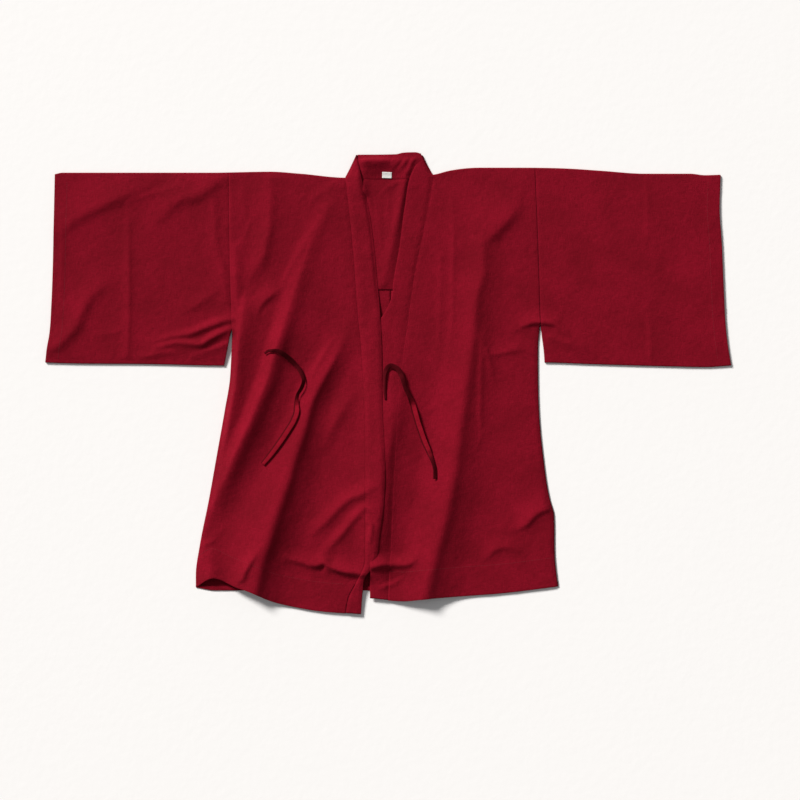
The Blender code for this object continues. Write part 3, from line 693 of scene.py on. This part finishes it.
def woven(name, light, middle, dark, pitch, roughness, sheen, inner=None):
    """Plain weave on the piece's UV map, which is in metres: thread bumps sin(u) sin(v), slubs as
    noise drawn out along each thread direction, and broad unevenness on object coordinates."""
    cloth = Finish(name)
    place = cloth.node("ShaderNodeTexCoord")
    uv = cloth.node("ShaderNodeSeparateXYZ", None, {"Vector": place.outputs["UV"]})
    u, v = Value(cloth, uv.outputs["X"]), Value(cloth, uv.outputs["Y"])
    turns = 2 * math.pi / pitch
    weave = (u * turns).maths("SINE") * (v * turns).maths("SINE")

    def slub(scale, offset):
        at = cloth.node("ShaderNodeMapping", None, {
            "Vector": place.outputs["UV"], "Scale": scale, "Location": (offset, offset, 0)})
        return cloth.value("ShaderNodeTexNoise", {"noise_dimensions": "2D"}, {
            "Vector": at.outputs["Vector"], "Scale": 1.0, "Detail": 2.0})

    def broad(scale, detail):
        return cloth.value("ShaderNodeTexNoise", None, {
            "Vector": place.outputs["Object"], "Scale": scale, "Detail": detail})

    streaks = slub((70, 900, 1), 3.1) + slub((900, 60, 1), 7.7) - 1.0
    patches, grain, rumple = broad(14, 3.0), broad(420, 2.0), broad(95, 4.0)
    lighter = streaks * 0.9 + (grain - 0.5) * 0.7 + (patches - 0.5) * 0.9 + weave * 0.06 + 0.25
    darker = (patches - 0.5) * -1.1 + (grain - 0.5) * -0.9 + streaks * -0.6 + weave * -0.08 + 0.22
    shown = cloth.blend(lighter, colour(middle), colour(light))
    shown = cloth.blend(darker, shown, colour(dark))
    # Painted shade: the share in the attribute inner side darkens the colour towards inner, for the shade
    # on the ties' arches, tips and one edge
    if inner is not None:
        share = cloth.value("ShaderNodeAttribute", {"attribute_name": "inner side"}, output="Fac")
        shown = cloth.blend(share, shown, colour(inner))
    normal = cloth.bump(rumple, RUMPLE_DEPTH)
    normal = cloth.bump(streaks, SLUB_DEPTH, normal)
    normal = cloth.bump(weave, THREAD_DEPTH, normal)
    return cloth.shade(
        Base_Color=shown, Roughness=(patches - 0.5) * 0.2 + roughness, Normal=normal,
        Specular_IOR_Level=0.07, Sheen_Weight=sheen, Sheen_Roughness=0.45,
        Sheen_Tint=colour((0.75, 0.30, 0.32)))


def plain(name, base, roughness, scale, depth):
    """An even colour with a fine grain of one noise in its bump and its roughness."""
    finish = Finish(name)
    place = finish.node("ShaderNodeTexCoord")
    grain = finish.value("ShaderNodeTexNoise", None, {
        "Vector": place.outputs["Object"], "Scale": scale, "Detail": 3.0})
    return finish.shade(
        Base_Color=colour(base), Roughness=(grain - 0.5) * 0.15 + roughness,
        Normal=finish.bump(grain, depth))


def finish_named(name):
    """The material of that name, made the first time that a piece asks for it."""
    if name in bpy.data.materials:
        return bpy.data.materials[name]
    colours, weave = bpy.context.scene.jacket_colours, bpy.context.scene.jacket_sizes.weave
    if name == "thread":
        return plain(name, colours.thread, 0.6, 900, 0.00005)
    if name == "label cloth":
        base = np.array(colours.label)
        return woven(name, base * 1.06, base, base * 0.85, WEAVE_OF_LABEL, 0.6, 0.1)
    light, middle = np.array(colours.cloth_light), np.array(colours.cloth)
    dark = np.array(colours.cloth_dark)
    if name == "wine red cloth":
        return woven(name, light, middle, dark, weave, 0.9, 0.03)
    base = np.array(colours.tape if name == "tape" else colours.lining)
    shades = base * light / middle, base, base * dark / middle
    if name == "tape":
        # The ties' painted shade is 0.30 of their red
        return woven(name, *shades, WEAVE_OF_TAPE, 0.95, 0.0, inner=0.30 * base)
    return woven(name, *shades, weave, 0.9, 0.03)


def put(name, data):
    """An object with that data, in the scene."""
    made = bpy.data.objects.new(name, data)
    bpy.context.scene.collection.objects.link(made)
    return made


def surface(name, points, uv, finish, wall=0.0, kept=None, closed=False, capped=False):
    """Piece from a grid of points, rows by columns, in millimetres.

    Each cell is a quad. kept says which cells stay. A closed grid joins its last row to its first,
    and has one uv row more than rows of points. capped shuts a closed grid's first and last column.
    The wall is Solidify's. It and uv are in millimetres too.
    """
    rows, columns = points.shape[:2]
    number = np.arange(rows * columns).reshape(rows, columns)
    if closed:
        number = np.vstack([number, number[:1]])
    row, column = np.mgrid[0:len(number) - 1, 0:columns - 1]
    r = np.stack([row, row, row + 1, row + 1], -1).reshape(-1, 4)
    c = np.stack([column, column + 1, column + 1, column], -1).reshape(-1, 4)
    if kept is not None:
        r, c = r[kept.ravel()], c[kept.ravel()]
    faces, corners = number[r, c].tolist(), uv[r, c].reshape(-1, 2)
    if capped:
        k = np.arange(rows // 2)
        ring = np.stack([k, k + 1, (rows - k - 1) % rows, (rows - k) % rows], -1)
        caps = [list(dict.fromkeys(four)) for four in ring.tolist()]
        for at in (0, columns - 1):
            faces += [number[cap, at].tolist() for cap in caps]
            corners = np.vstack([corners, *(uv[cap, at] for cap in caps)])
    mesh = bpy.data.meshes.new(name)
    mesh.from_pydata(points.reshape(-1, 3) * MM, [], faces)
    layer = mesh.uv_layers.new(name="cloth")
    layer.data.foreach_set("uv", (corners * MM).astype(np.float32).ravel())
    cleaned = bmesh.new()
    cleaned.from_mesh(mesh)
    loose = [vertex for vertex in cleaned.verts if not vertex.link_faces]
    bmesh.ops.delete(cleaned, geom=loose, context="VERTS")
    if capped:
        bmesh.ops.recalc_face_normals(cleaned, faces=cleaned.faces)
    cleaned.to_mesh(mesh)
    cleaned.free()
    mesh.shade_smooth()
    mesh.materials.append(finish_named(finish))
    piece = put(name, mesh)
    if wall:
        solid = piece.modifiers.new("Wall", "SOLIDIFY")
        solid.thickness = wall * MM
        solid.offset = 0
    return piece


def dress(piece, slot, *nodes):
    """Makes a piece ride on the jacket's one body and stand for its CAD nodes."""
    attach(piece, "root")
    if nodes:
        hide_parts(*nodes)
    return piece


def steps(length):
    """Number of grid steps for a length in millimetres at the mesh pitch."""
    return max(2, round(length / size("pitch")))


def lip_profile(depth, radius):
    """Run and drop of cloth turned under at an edge: half a circle and a flat return, as rows."""
    turn = np.linspace(0, np.pi, 5)[1:]
    run = np.append(-radius * np.sin(turn), (0.4 * depth, depth))
    drop = np.append(radius * (1 - np.cos(turn)), (2 * radius, 2 * radius))
    return run, drop


def shoulder_roll(top):
    """Angle, y and z of the rows round the shoulder fold: top + ROLL sin a, BACK_Z + ROLL (1 - cos a)."""
    turn = np.linspace(0, np.pi, ROLL_ROWS + 1)[1:-1, None]
    return turn, top + ROLL * np.sin(turn), BACK_Z + ROLL * (1 - np.cos(turn)) + 0 * top


def back_wave(x, y, top, seed):
    """Slight wave of the lower layer: 0.3 (1 + noise) mm, faded out over 20 mm below the fold."""
    return 0.3 * (1 + noise(x, y, 90, seed)) * ease((top - y) / 20)


def body_panel(half):
    """Back, shoulder fold and front of one half. The back is level at BACK_Z with a slight wave, the
    fold is half a circle of radius ROLL, and the front follows upper_z. Both hems end in a lip."""
    across_columns = steps(BODY_ACROSS)
    run, drop = (part[:, None] for part in lip_profile(size("lip"), LIP_RADIUS))

    across = np.append(np.linspace(0, 1, across_columns + 1), np.ones(NECK_COLUMNS))
    neck = np.append(np.zeros(across_columns + 1), np.linspace(0, 1, NECK_COLUMNS + 1)[1:])
    top_x = mix(half.armhole[-1][1], half.neck_x, across)
    top = np.where(neck > 0, NECK_SEAM_Y, read(SHOULDER_X_Y, top_x) - ROLL)

    back_end_x = mix(mix(half.side[0][1], half.neck_x, across), CENTRE_BACK_X, neck)
    t = np.linspace(0, 1, steps(BACK_DOWN) // BACK_SPARSE + 1)[:, None]
    back_y = mix(read(BACK_HEM_X_Y, back_end_x), top, t)
    back_x = mix(mix(side_x(half, back_y), half.neck_x, across), CENTRE_BACK_X, neck)
    back_z = BACK_Z - 0.2 + back_wave(back_x, back_y, top, SEEDS["body"])

    hem_x = mix(half.side[0][1], half.seam[0][1], across)
    t = np.linspace(0, 1, steps(FRONT_DOWN) + 1)[:, None]
    front_y = mix(top, read(half.front_hem, hem_x), t)
    tuck = SEAM_TUCK if half.lap else -SEAM_TUCK
    front_x = mix(side_x(half, front_y), read(half.seam, front_y) + tuck, across)
    hem = ease((front_y - front_y[-1] - size("hem")) / -1.5)
    front_z = upper_z(half, front_x, front_y) + HEM_RISE * hem

    roll_y, roll_z = shoulder_roll(top)[1:]
    roll_x = np.broadcast_to(front_x[0], roll_y.shape)
    x = np.vstack([(back_x[:1] + 0 * run)[::-1], back_x, roll_x, front_x, front_x[-1:] + 0 * run])
    y = np.vstack([(back_y[:1] + run)[::-1], back_y, roll_y, front_y, front_y[-1:] + run])
    z = np.vstack([(back_z[:1] + drop)[::-1], back_z, roll_z, front_z, front_z[-1:] - drop])
    behind = len(run) + len(back_y)
    uv = np.stack([x, np.vstack([2 * top - y[:behind], y[behind:]])], -1)
    row, column = np.mgrid[0:len(x) - 1, 0:x.shape[1] - 1]
    kept = (column < across_columns) | (row < behind - 1)
    points, wall = np.stack([x, y, z], -1), size("cloth")
    return surface(f"body_{half.name}_cloth", points, uv, "wine red cloth", wall, kept=kept)


def sleeve(half):
    """Flat tube: lower layer, half a circle over the shoulder line, upper layer and half a circle at
    the lower edge. Its outer end turns in as a lip. Its inner end tucks in behind the body at the
    armhole, and turns in as a lip below the armhole."""
    out = np.linspace(0, 1, steps(SLEEVE_OUT) + 1)
    top_x = mix(half.armhole[-1][1], half.cuff[-1][1], out)
    low_x = mix(half.slit[0][1], half.cuff[0][1], out)
    top, low = read(SHOULDER_X_Y, top_x) - ROLL, read(SLEEVE_HEM_X_Y, low_x) + ROLL

    turn, roll_y, roll_z = shoulder_roll(top)
    back_y = mix(low, top, np.linspace(0, 1, steps(SLEEVE_DOWN) // BACK_SPARSE + 1)[:, None])
    front_y = mix(top, low, np.linspace(0, 1, steps(SLEEVE_DOWN) + 1)[:, None])
    y = np.vstack([back_y, roll_y, front_y, low - ROLL * np.sin(turn)])
    level = np.vstack([back_y, top + 0 * turn, front_y, low + 0 * turn])
    foot = half.armhole[0][0]
    inner = np.where(level > foot, read(half.armhole, level), read(half.slit, level))
    x = mix(inner, read(half.cuff, level), out)
    first = len(back_y) + len(turn)
    upper = upper_z(half, x[first:first + len(front_y)], front_y)
    upper = mix(FRONT_Z, upper, ease((front_y - low) / FOLD_FADE))
    wave = back_wave(x[:len(back_y)], back_y, top, SEEDS["sleeve"]) * ease((back_y - low) / 20)
    under = FRONT_Z - ROLL * (1 - np.cos(turn)) + 0 * out
    z = np.vstack([BACK_Z - 0.2 * ease(wave) + wave, roll_z, upper, under])

    flat_back, flat_front = np.ones((len(back_y), 1)), np.ones((len(front_y), 1))
    inward_y = np.vstack([0 * flat_back, -np.sin(turn), 0 * flat_front, np.sin(turn)])
    inward_z = np.vstack([flat_back, np.cos(turn), -flat_front, -np.cos(turn)])
    cuff = ease((np.abs(x) - np.abs(read(half.cuff, level)) + size("cuff")) / 1.5)
    z = z - CUFF_RISE * cuff * inward_z

    outwards = np.sign(half.cuff[0][1])
    free = ease((foot - level[:, :1]) / 6)
    profile = list(zip(*lip_profile(size("lip"), LIP_RADIUS)))
    inner_end, outer_end = [], []
    for k, (a, b) in enumerate(profile):
        share = (k + 1) / len(profile)
        shift = outwards * mix(-1.8 * share, min(a, 4), free)
        deep = mix(0.95 * ease(1.6 * share), b, free)
        inner_end.append((x[:, :1] + shift, y[:, :1] + deep * inward_y, z[:, :1] + deep * inward_z))
        outer_end.append((x[:, -1:] - outwards * a, y[:, -1:] + b * inward_y, z[:, -1:] + b * inward_z))
    parts = [*inner_end[::-1], (x, y, z), *outer_end]
    x, y, z = (np.hstack(columns) for columns in zip(*parts))

    lengths = np.hypot(np.diff(y, axis=0, append=y[:1]), np.diff(z, axis=0, append=z[:1]))
    around = np.vstack([np.zeros_like(y[:1]), np.cumsum(lengths, axis=0)])
    uv = np.stack([np.vstack([x, x[:1]]), around], -1)
    points, wall = np.stack([x, y, z], -1), size("cloth")
    return surface(f"sleeve_{half.name}_cloth", points, uv, "wine red cloth", wall, closed=True)


def spread(columns):
    """Places from 0 to 1 that crowd towards both ends: (1 - cos t) / 2."""
    return (1 - np.cos(np.linspace(0, np.pi, columns))) / 2


def rounding(columns, edge=12):
    """Share of a band's thickness at each place s of its spread: the root of 1 - |2s - 1|^edge."""
    return np.sqrt(np.maximum(1 - np.abs(2 * spread(columns) - 1) ** edge, 0))


def band(name, x, y, z, thickness, finish, length, edge=12):
    """Closed band with rounded edges round a middle surface of rows by columns across. Its half
    thickness is thickness/2 times the rounding. length is how far down the band each row is."""
    half = thickness / 2 * rounding(x.shape[1], edge)
    over, under = np.stack([x, y, z + half], -1), np.stack([x, y, z - half], -1)
    ring = np.concatenate([over, under[:, -2:0:-1]], axis=1).transpose(1, 0, 2)
    lengths = np.hypot(*(np.diff(ring, axis=0, append=ring[:1])[..., :2]).transpose(2, 0, 1))
    around = np.vstack([np.zeros_like(lengths[:1]), np.cumsum(lengths, axis=0)])
    uv = np.stack([around, np.broadcast_to(length, around.shape)], -1)
    return surface(name, ring, uv, finish, closed=True, capped=True)


def collar_side(half):
    """Band from the turn at the neck down the front edge to the hem, on the front's height. Its top
    starts level with the body's at the seam. The right one's edge falls by 7 mm past the shoulder,
    towards the band behind the neck. The left one's rises by 3 mm on the way to the shoulder."""
    shoulder_y, thickness = half.turn[0][0], size("collar")
    across = spread(COLLAR_COLUMNS)
    down = np.linspace(0, 1, steps(BAND_DOWN) + 1)[:, None]
    hem_x = mix(half.seam[0][1], half.edge[0][1], across)
    y = mix(COLLAR_TOP_Y - 1, read(half.front_hem, hem_x), down)
    seam = np.where(y > shoulder_y, read(half.turn, y), read(half.seam, y))
    x = mix(seam, read(half.edge, y), across)
    sunk = np.where(across < 0.5, rounding(COLLAR_COLUMNS), 1) * thickness / 2
    z = upper_z(half, x, np.minimum(y, shoulder_y)) + BAND_STAND + BAND_RISE * ease(4 * across) - sunk
    beyond = ease((y - shoulder_y) / 40)
    if half.lap:
        z = z - 7 * beyond * across
    else:
        z = z + 3 * ease((y - 345) / 66) * (1 - beyond) * across
    crown = 0.25 * np.sin(np.pi * across) * (1 + noise(x, 0.5 * y, 18, SEEDS["collar"]))
    bend = ease((y - shoulder_y) / 6) * (1 - ease(np.abs(x - seam) / 9))
    z, length = z + crown - 2.2 * bend, np.linspace(0, COLLAR_LENGTH, len(down))
    return band(f"collar_{half.name}_band", x, y, z, thickness, "wine red cloth", length)


def back_band_z(x, y):
    """Middle height of the band behind the neck. Its lower edge rides over the lining, it rises
    towards its top, and its folds fade out at its ends."""
    up = (y - NECK_SEAM_Y) / (COLLAR_TOP_Y - NECK_SEAM_Y)
    inside = ease(np.minimum(x + 66, 72 - x) / 16) * ease(3 * up) * ease(4 - 4 * up)
    lining = np.minimum(lining_z(x, NECK_SEAM_Y + 0 * y) - LINING_Z, 4)
    over = (lining + 0.7) * (1 - ease(1.6 * up))
    wave = 0.5 * (1 + noise(x, y, 26, SEEDS["neck"]))
    folds = inside * (fold_height(NECK_FOLDS.values(), x, y) + wave)
    return size("collar") / 2 + 0.4 + over + 3.5 * ease(1.1 * up) + folds


def collar_back():
    """Band round the back of the neck, between the two turns, bowed up in the middle."""
    across = np.linspace(0, 1, steps(BAND_ROUND) + 1)[:, None]
    y = mix(NECK_SEAM_Y - 1, read(COLLAR_TOP_X_Y, mix(-62, 68, across)), spread(BACK_BAND_COLUMNS))
    x = mix(read(RIGHT.turn, y) + 2.5, read(LEFT.turn, y) - 2.5, across)
    z, length = back_band_z(x, y), np.linspace(0, BACK_BAND_LENGTH, len(across))
    return band("collar_back_band", x, y, z, size("collar"), "wine red cloth", length)


def lining_z(x, y):
    """Middle height of the shoulder lining: level, with folds and 0.4 (1 + noise) mm of wrinkles
    where the V shows it."""
    left, right = read(RIGHT.edge, y), read(LEFT.edge, y)
    under = 4 + 10 * ease((y - 372) / 12)
    inside = ease((x - left + under) / 10) * ease((right - x + 2) / 9)
    inside = inside * ease((y - LINING_HEM_Y) / 12)
    folds = fold_height(LINING_FOLDS.values(), x, y)
    return LINING_Z + inside * (folds + 0.4 * (1 + noise(x, y, 40, SEEDS["lining"])))


def shoulder_lining():
    """Panel inside the back from the shoulders to below the V, on lining_z. It stays LINING_INSET
    inside the shoulder line and the armholes."""
    ends = RIGHT.armhole[0][1] + LINING_INSET, LEFT.armhole[-1][1] - LINING_INSET
    x = np.linspace(*ends, steps(LINING_ACROSS) + 1)
    top = np.minimum(read(SHOULDER_X_Y, x) - LINING_INSET, NECK_SEAM_Y + 4)
    top = np.where((x > RIGHT.neck_x) & (x < LEFT.neck_x), NECK_SEAM_Y + 1.5, top)
    y = mix(LINING_HEM_Y, top, np.linspace(0, 1, steps(LINING_DOWN) + 1)[:, None])
    x = np.broadcast_to(x, y.shape)
    points = np.stack([x, y, lining_z(x, y)], -1)
    return surface("shoulder_lining_cloth", points, points[..., :2], "lining cloth", size("lining"))


def neck_label():
    """Bare woven label on the band behind the neck, tilted a little, on the band's height."""
    (width, height), middle, tilt = LABEL_SIZE, LABEL_PLACE, math.radians(LABEL_TILT)
    a, b = width * (spread(14) - 0.5), height * np.linspace(-0.5, 0.5, 12)[:, None]
    x = middle[0] + a * math.cos(tilt) - b * math.sin(tilt)
    y = middle[1] + a * math.sin(tilt) + b * math.cos(tilt)
    z, length = back_band_z(x, y) + size("collar") / 2 + 0.5, np.linspace(0, 15, len(b))
    return band("neck_label_cloth", x, y, z, size("label"), "label cloth", length)


def front_top(half, x, y):
    """Top of the body cloth and of the collar band beside it."""
    seam, edge = read(half.seam, y), read(half.edge, y)
    on_band = (x - seam) * (edge - seam) > -2 * np.abs(edge - seam)
    return upper_z(half, x, y) + np.where(on_band, 0.85 + size("collar") / 2, size("cloth") / 2)


def tie(half, path):
    """Folded tape along its path. Its height is the highest host within 5 mm, smoothed along the
    path. The cross-section is turned about the path's line by the path's fourth column. Its colour
    carries painted shade by the path's last column, and always along one edge."""
    line = walk(path, TIE_ROWS)
    place, width, turn, stand, inner = np.split(line, (2, 3, 4, 5), axis=1)
    turn = np.radians(turn)
    heading = np.gradient(place, axis=0)
    heading = heading / np.hypot(*heading.T)[:, None]
    around = [(dx, dy) for dx in (-5, 0, 5) for dy in (-5, 0, 5)]
    rest = np.max([front_top(half, place[:, 0] + dx, place[:, 1] + dy) for dx, dy in around], axis=0)
    smooth = np.convolve(np.pad(rest, 4, mode="edge"), np.ones(9) / 9, "valid")
    rest = np.maximum(rest, smooth)[:, None] + TIE_STAND + size("tape") / 2
    out = (spread(TIE_COLUMNS) - 0.5) * width
    x = place[:, :1] - heading[:, 1:] * out * np.cos(turn)
    y = place[:, 1:] + heading[:, :1] * out * np.cos(turn)
    lift = np.abs(np.sin(turn)) * width / 2
    z = rest + lift + stand + out * np.sin(turn) + TIE_CROWN * np.cos(np.pi * out / width)
    length = np.cumsum(np.hypot(*np.diff(place, axis=0, prepend=place[:1]).T))
    piece = band(f"tie_{half.name}_tape", x, y, z, size("tape"), "tape", length, edge=6)
    # Painted shade by the path's last column, and always on the first columns at one edge, for the shade
    # along that edge
    shown = np.repeat(inner.T, 2 * TIE_COLUMNS - 2, axis=0)
    shown[:4] = shown[-3:] = 1
    share = piece.data.attributes.new("inner side", "FLOAT", "POINT")
    share.data.foreach_set("value", shown.ravel().astype(np.float32))
    return piece


def stitches(name, rows, half_width=0.28, height=0.22):
    """Short rounded stitches along lines of points: each is a hull of three rings of four, thick in
    the middle and thin at both ends, which dip into the cloth."""
    length = size("stitch")
    starts, ends = [], []
    for line in rows:
        run = np.append(0, np.cumsum(np.linalg.norm(np.diff(line, axis=0), axis=1)))
        at = np.arange(int(run[-1] / (STITCH_STEP * length))) * STITCH_STEP * length
        starts.append(np.stack([np.interp(at, run, column) for column in line.T], -1))
        ends.append(np.stack([np.interp(at + length, run, column) for column in line.T], -1))
    start, end = np.vstack(starts), np.vstack(ends)
    along = (end - start) / np.linalg.norm(end - start, axis=1)[:, None]
    beside = np.stack([-along[:, 1], along[:, 0], 0 * along[:, 0]], -1)
    up = np.array((0, 0, 1.0))
    rings = []
    for t, swell, lift in ((0, 0.3, -0.1), (0.5, 1.0, 0.12), (1, 0.3, -0.1)):
        middle = mix(start, end, t) + lift * up
        for a, b in ((1, 0), (0, 1), (-1, 0), (0, -1)):
            rings.append(middle + swell * (a * half_width * beside + b * height * up))
    points = np.stack(rings, 1)
    k = np.arange(4)
    sides = [np.stack([k + s, (k + 1) % 4 + s, (k + 1) % 4 + s + 4, k + s + 4], -1) for s in (0, 4)]
    faces = np.vstack([*sides, [[3, 2, 1, 0]], [[8, 9, 10, 11]]])
    number = (np.arange(len(points)) * 12)[:, None, None] + faces
    mesh = bpy.data.meshes.new(name)
    mesh.from_pydata(points.reshape(-1, 3) * MM, [], number.reshape(-1, 4).tolist())
    mesh.shade_smooth()
    mesh.materials.append(finish_named("thread"))
    return put(name, mesh)


class JACKET_OT_stage(bpy.types.Operator):
    """Floor, lights and camera"""

    bl_idname = "jacket.stage"
    bl_label = "Stage"

    def execute(self, context):
        scene, stage = context.scene, context.scene.jacket_stage
        scene.view_settings.view_transform = "Standard"
        camera = put("camera", bpy.data.cameras.new("camera"))
        camera.data.lens = stage.lens
        camera.data.sensor_width = 36
        camera.data.clip_end = 100
        camera.location = (stage.camera_x, stage.camera_y, stage.camera_height)
        scene.camera = camera

        key = put("key light", bpy.data.lights.new("key light", "SUN"))
        key.data.energy = stage.key_strength
        key.data.angle = stage.key_spread
        key.data.color = (1.0, 0.975, 0.95)
        key.rotation_euler = (0, stage.key_height - math.pi / 2, -stage.key_turn)

        scene.world = bpy.data.worlds.new("even light")
        scene.world.use_nodes = True
        background = scene.world.node_tree.nodes["Background"]
        background.inputs["Color"].default_value = (0.97, 0.98, 1.0, 1.0)
        background.inputs["Strength"].default_value = stage.fill_strength

        signs = ((-1, -1), (1, -1), (1, 1), (-1, 1))
        corners = [(a * FLOOR_HALF, b * FLOOR_HALF, -FLOOR_DROP) for a, b in signs]
        mesh = bpy.data.meshes.new("floor")
        mesh.from_pydata(corners, [], [(0, 1, 2, 3)])
        mesh.materials.append(plain("floor paper", stage.floor, 0.7, 60, 0.0002))
        put("floor", mesh)
        return {"FINISHED"}


class JACKET_OT_bodies(bpy.types.Operator):
    """Both body panels, from back hem over the shoulder to front hem"""

    bl_idname = "jacket.bodies"
    bl_label = "Body panels"

    def execute(self, context):
        for half, flat, area in ((RIGHT, (0.40, 1.74), 0.57), (LEFT, (0.36, 1.72), 0.53)):
            piece = dress(body_panel(half), "jacket_cloth", f"body_{half.name}")
        return {"FINISHED"}


class JACKET_OT_sleeves(bpy.types.Operator):
    """Both sleeves as flat tubes"""

    bl_idname = "jacket.sleeves"
    bl_label = "Sleeves"

    def execute(self, context):
        for half in (RIGHT, LEFT):
            piece = dress(sleeve(half), "jacket_cloth", f"sleeve_{half.name}")
        return {"FINISHED"}


class JACKET_OT_collar(bpy.types.Operator):
    """Collar band in its three stretches"""

    bl_idname = "jacket.collar"
    bl_label = "Collar band"

    def execute(self, context):
        for half, width in ((RIGHT, 0.038), (LEFT, 0.05)):
            piece = dress(collar_side(half), "jacket_cloth", f"collar_{half.name}")
        piece = dress(collar_back(), "jacket_cloth", "collar_back")
        return {"FINISHED"}


class JACKET_OT_lining(bpy.types.Operator):
    """Shoulder lining inside the back, and the bare label at the neck"""

    bl_idname = "jacket.lining"
    bl_label = "Lining and label"

    def execute(self, context):
        piece = dress(shoulder_lining(), "lining_cloth", "shoulder_lining")
        piece = dress(neck_label(), "label", "neck_label")
        return {"FINISHED"}


class JACKET_OT_ties(bpy.types.Operator):
    """Both ties, lying on the fronts"""

    bl_idname = "jacket.ties"
    bl_label = "Ties"

    def execute(self, context):
        for half, path, length in ((RIGHT, RIGHT_TIE_PATH, 0.30), (LEFT, LEFT_TIE_PATH, 0.32)):
            piece = dress(tie(half, path), "tie_cloth", f"tie_{half.name}")
        return {"FINISHED"}


class JACKET_OT_stitching(bpy.types.Operator):
    """Rows of stitches along hems and cuffs"""

    bl_idname = "jacket.stitching"
    bl_label = "Stitching"

    def execute(self, context):
        rows = []
        for half in (RIGHT, LEFT):
            x = np.linspace(half.side[0][1] * 0.985, half.seam[0][1], STITCH_POINTS)
            y = read(half.front_hem, x) + size("hem") - STITCH_INSET
            inside = np.abs(x) < np.abs(side_x(half, y)) - 1
            x, y = x[inside], y[inside]
            rows.append(np.stack([x, y, upper_z(half, x, y) + HEM_RISE + size("cloth") / 2], -1))
            y = np.linspace(*CUFF_STITCH_Y, STITCH_POINTS)
            x = read(half.cuff, y) - np.sign(half.cuff[0][1]) * (size("cuff") - STITCH_INSET)
            rows.append(np.stack([x, y, upper_z(half, x, y) + CUFF_RISE + size("cloth") / 2], -1))
        dress(stitches("hem_stitches", rows), "jacket_cloth")
        return {"FINISHED"}


class JACKET_PT_panel(bpy.types.Panel):
    """Buttons that build the jacket piece by piece"""

    bl_idname = "JACKET_PT_panel"
    bl_label = "Iaido jacket"
    bl_space_type = "VIEW_3D"
    bl_region_type = "UI"
    bl_category = "Jacket"

    def draw(self, context):
        for operator in OPERATORS:
            self.layout.operator(operator.bl_idname)


GROUPS = {"jacket_sizes": JacketSizes, "jacket_colours": JacketColours, "jacket_stage": JacketStage}
OPERATORS = (
    JACKET_OT_stage, JACKET_OT_lining, JACKET_OT_bodies, JACKET_OT_sleeves, JACKET_OT_collar,
    JACKET_OT_ties, JACKET_OT_stitching,
)


def register():
    for group in (*GROUPS.values(), *OPERATORS, JACKET_PT_panel):
        bpy.utils.register_class(group)
    for name, group in GROUPS.items():
        setattr(bpy.types.Scene, name, PointerProperty(type=group))


def unregister():
    for name in GROUPS:
        delattr(bpy.types.Scene, name)
    for group in (JACKET_PT_panel, *OPERATORS[::-1], *GROUPS.values()):
        bpy.utils.unregister_class(group)


def main():
    register()
    bpy.ops.jacket.stage()
    bpy.ops.jacket.lining()
    bpy.ops.jacket.bodies()
    bpy.ops.jacket.sleeves()
    bpy.ops.jacket.collar()
    bpy.ops.jacket.ties()
    bpy.ops.jacket.stitching()


if __name__ == "__main__":
    main()
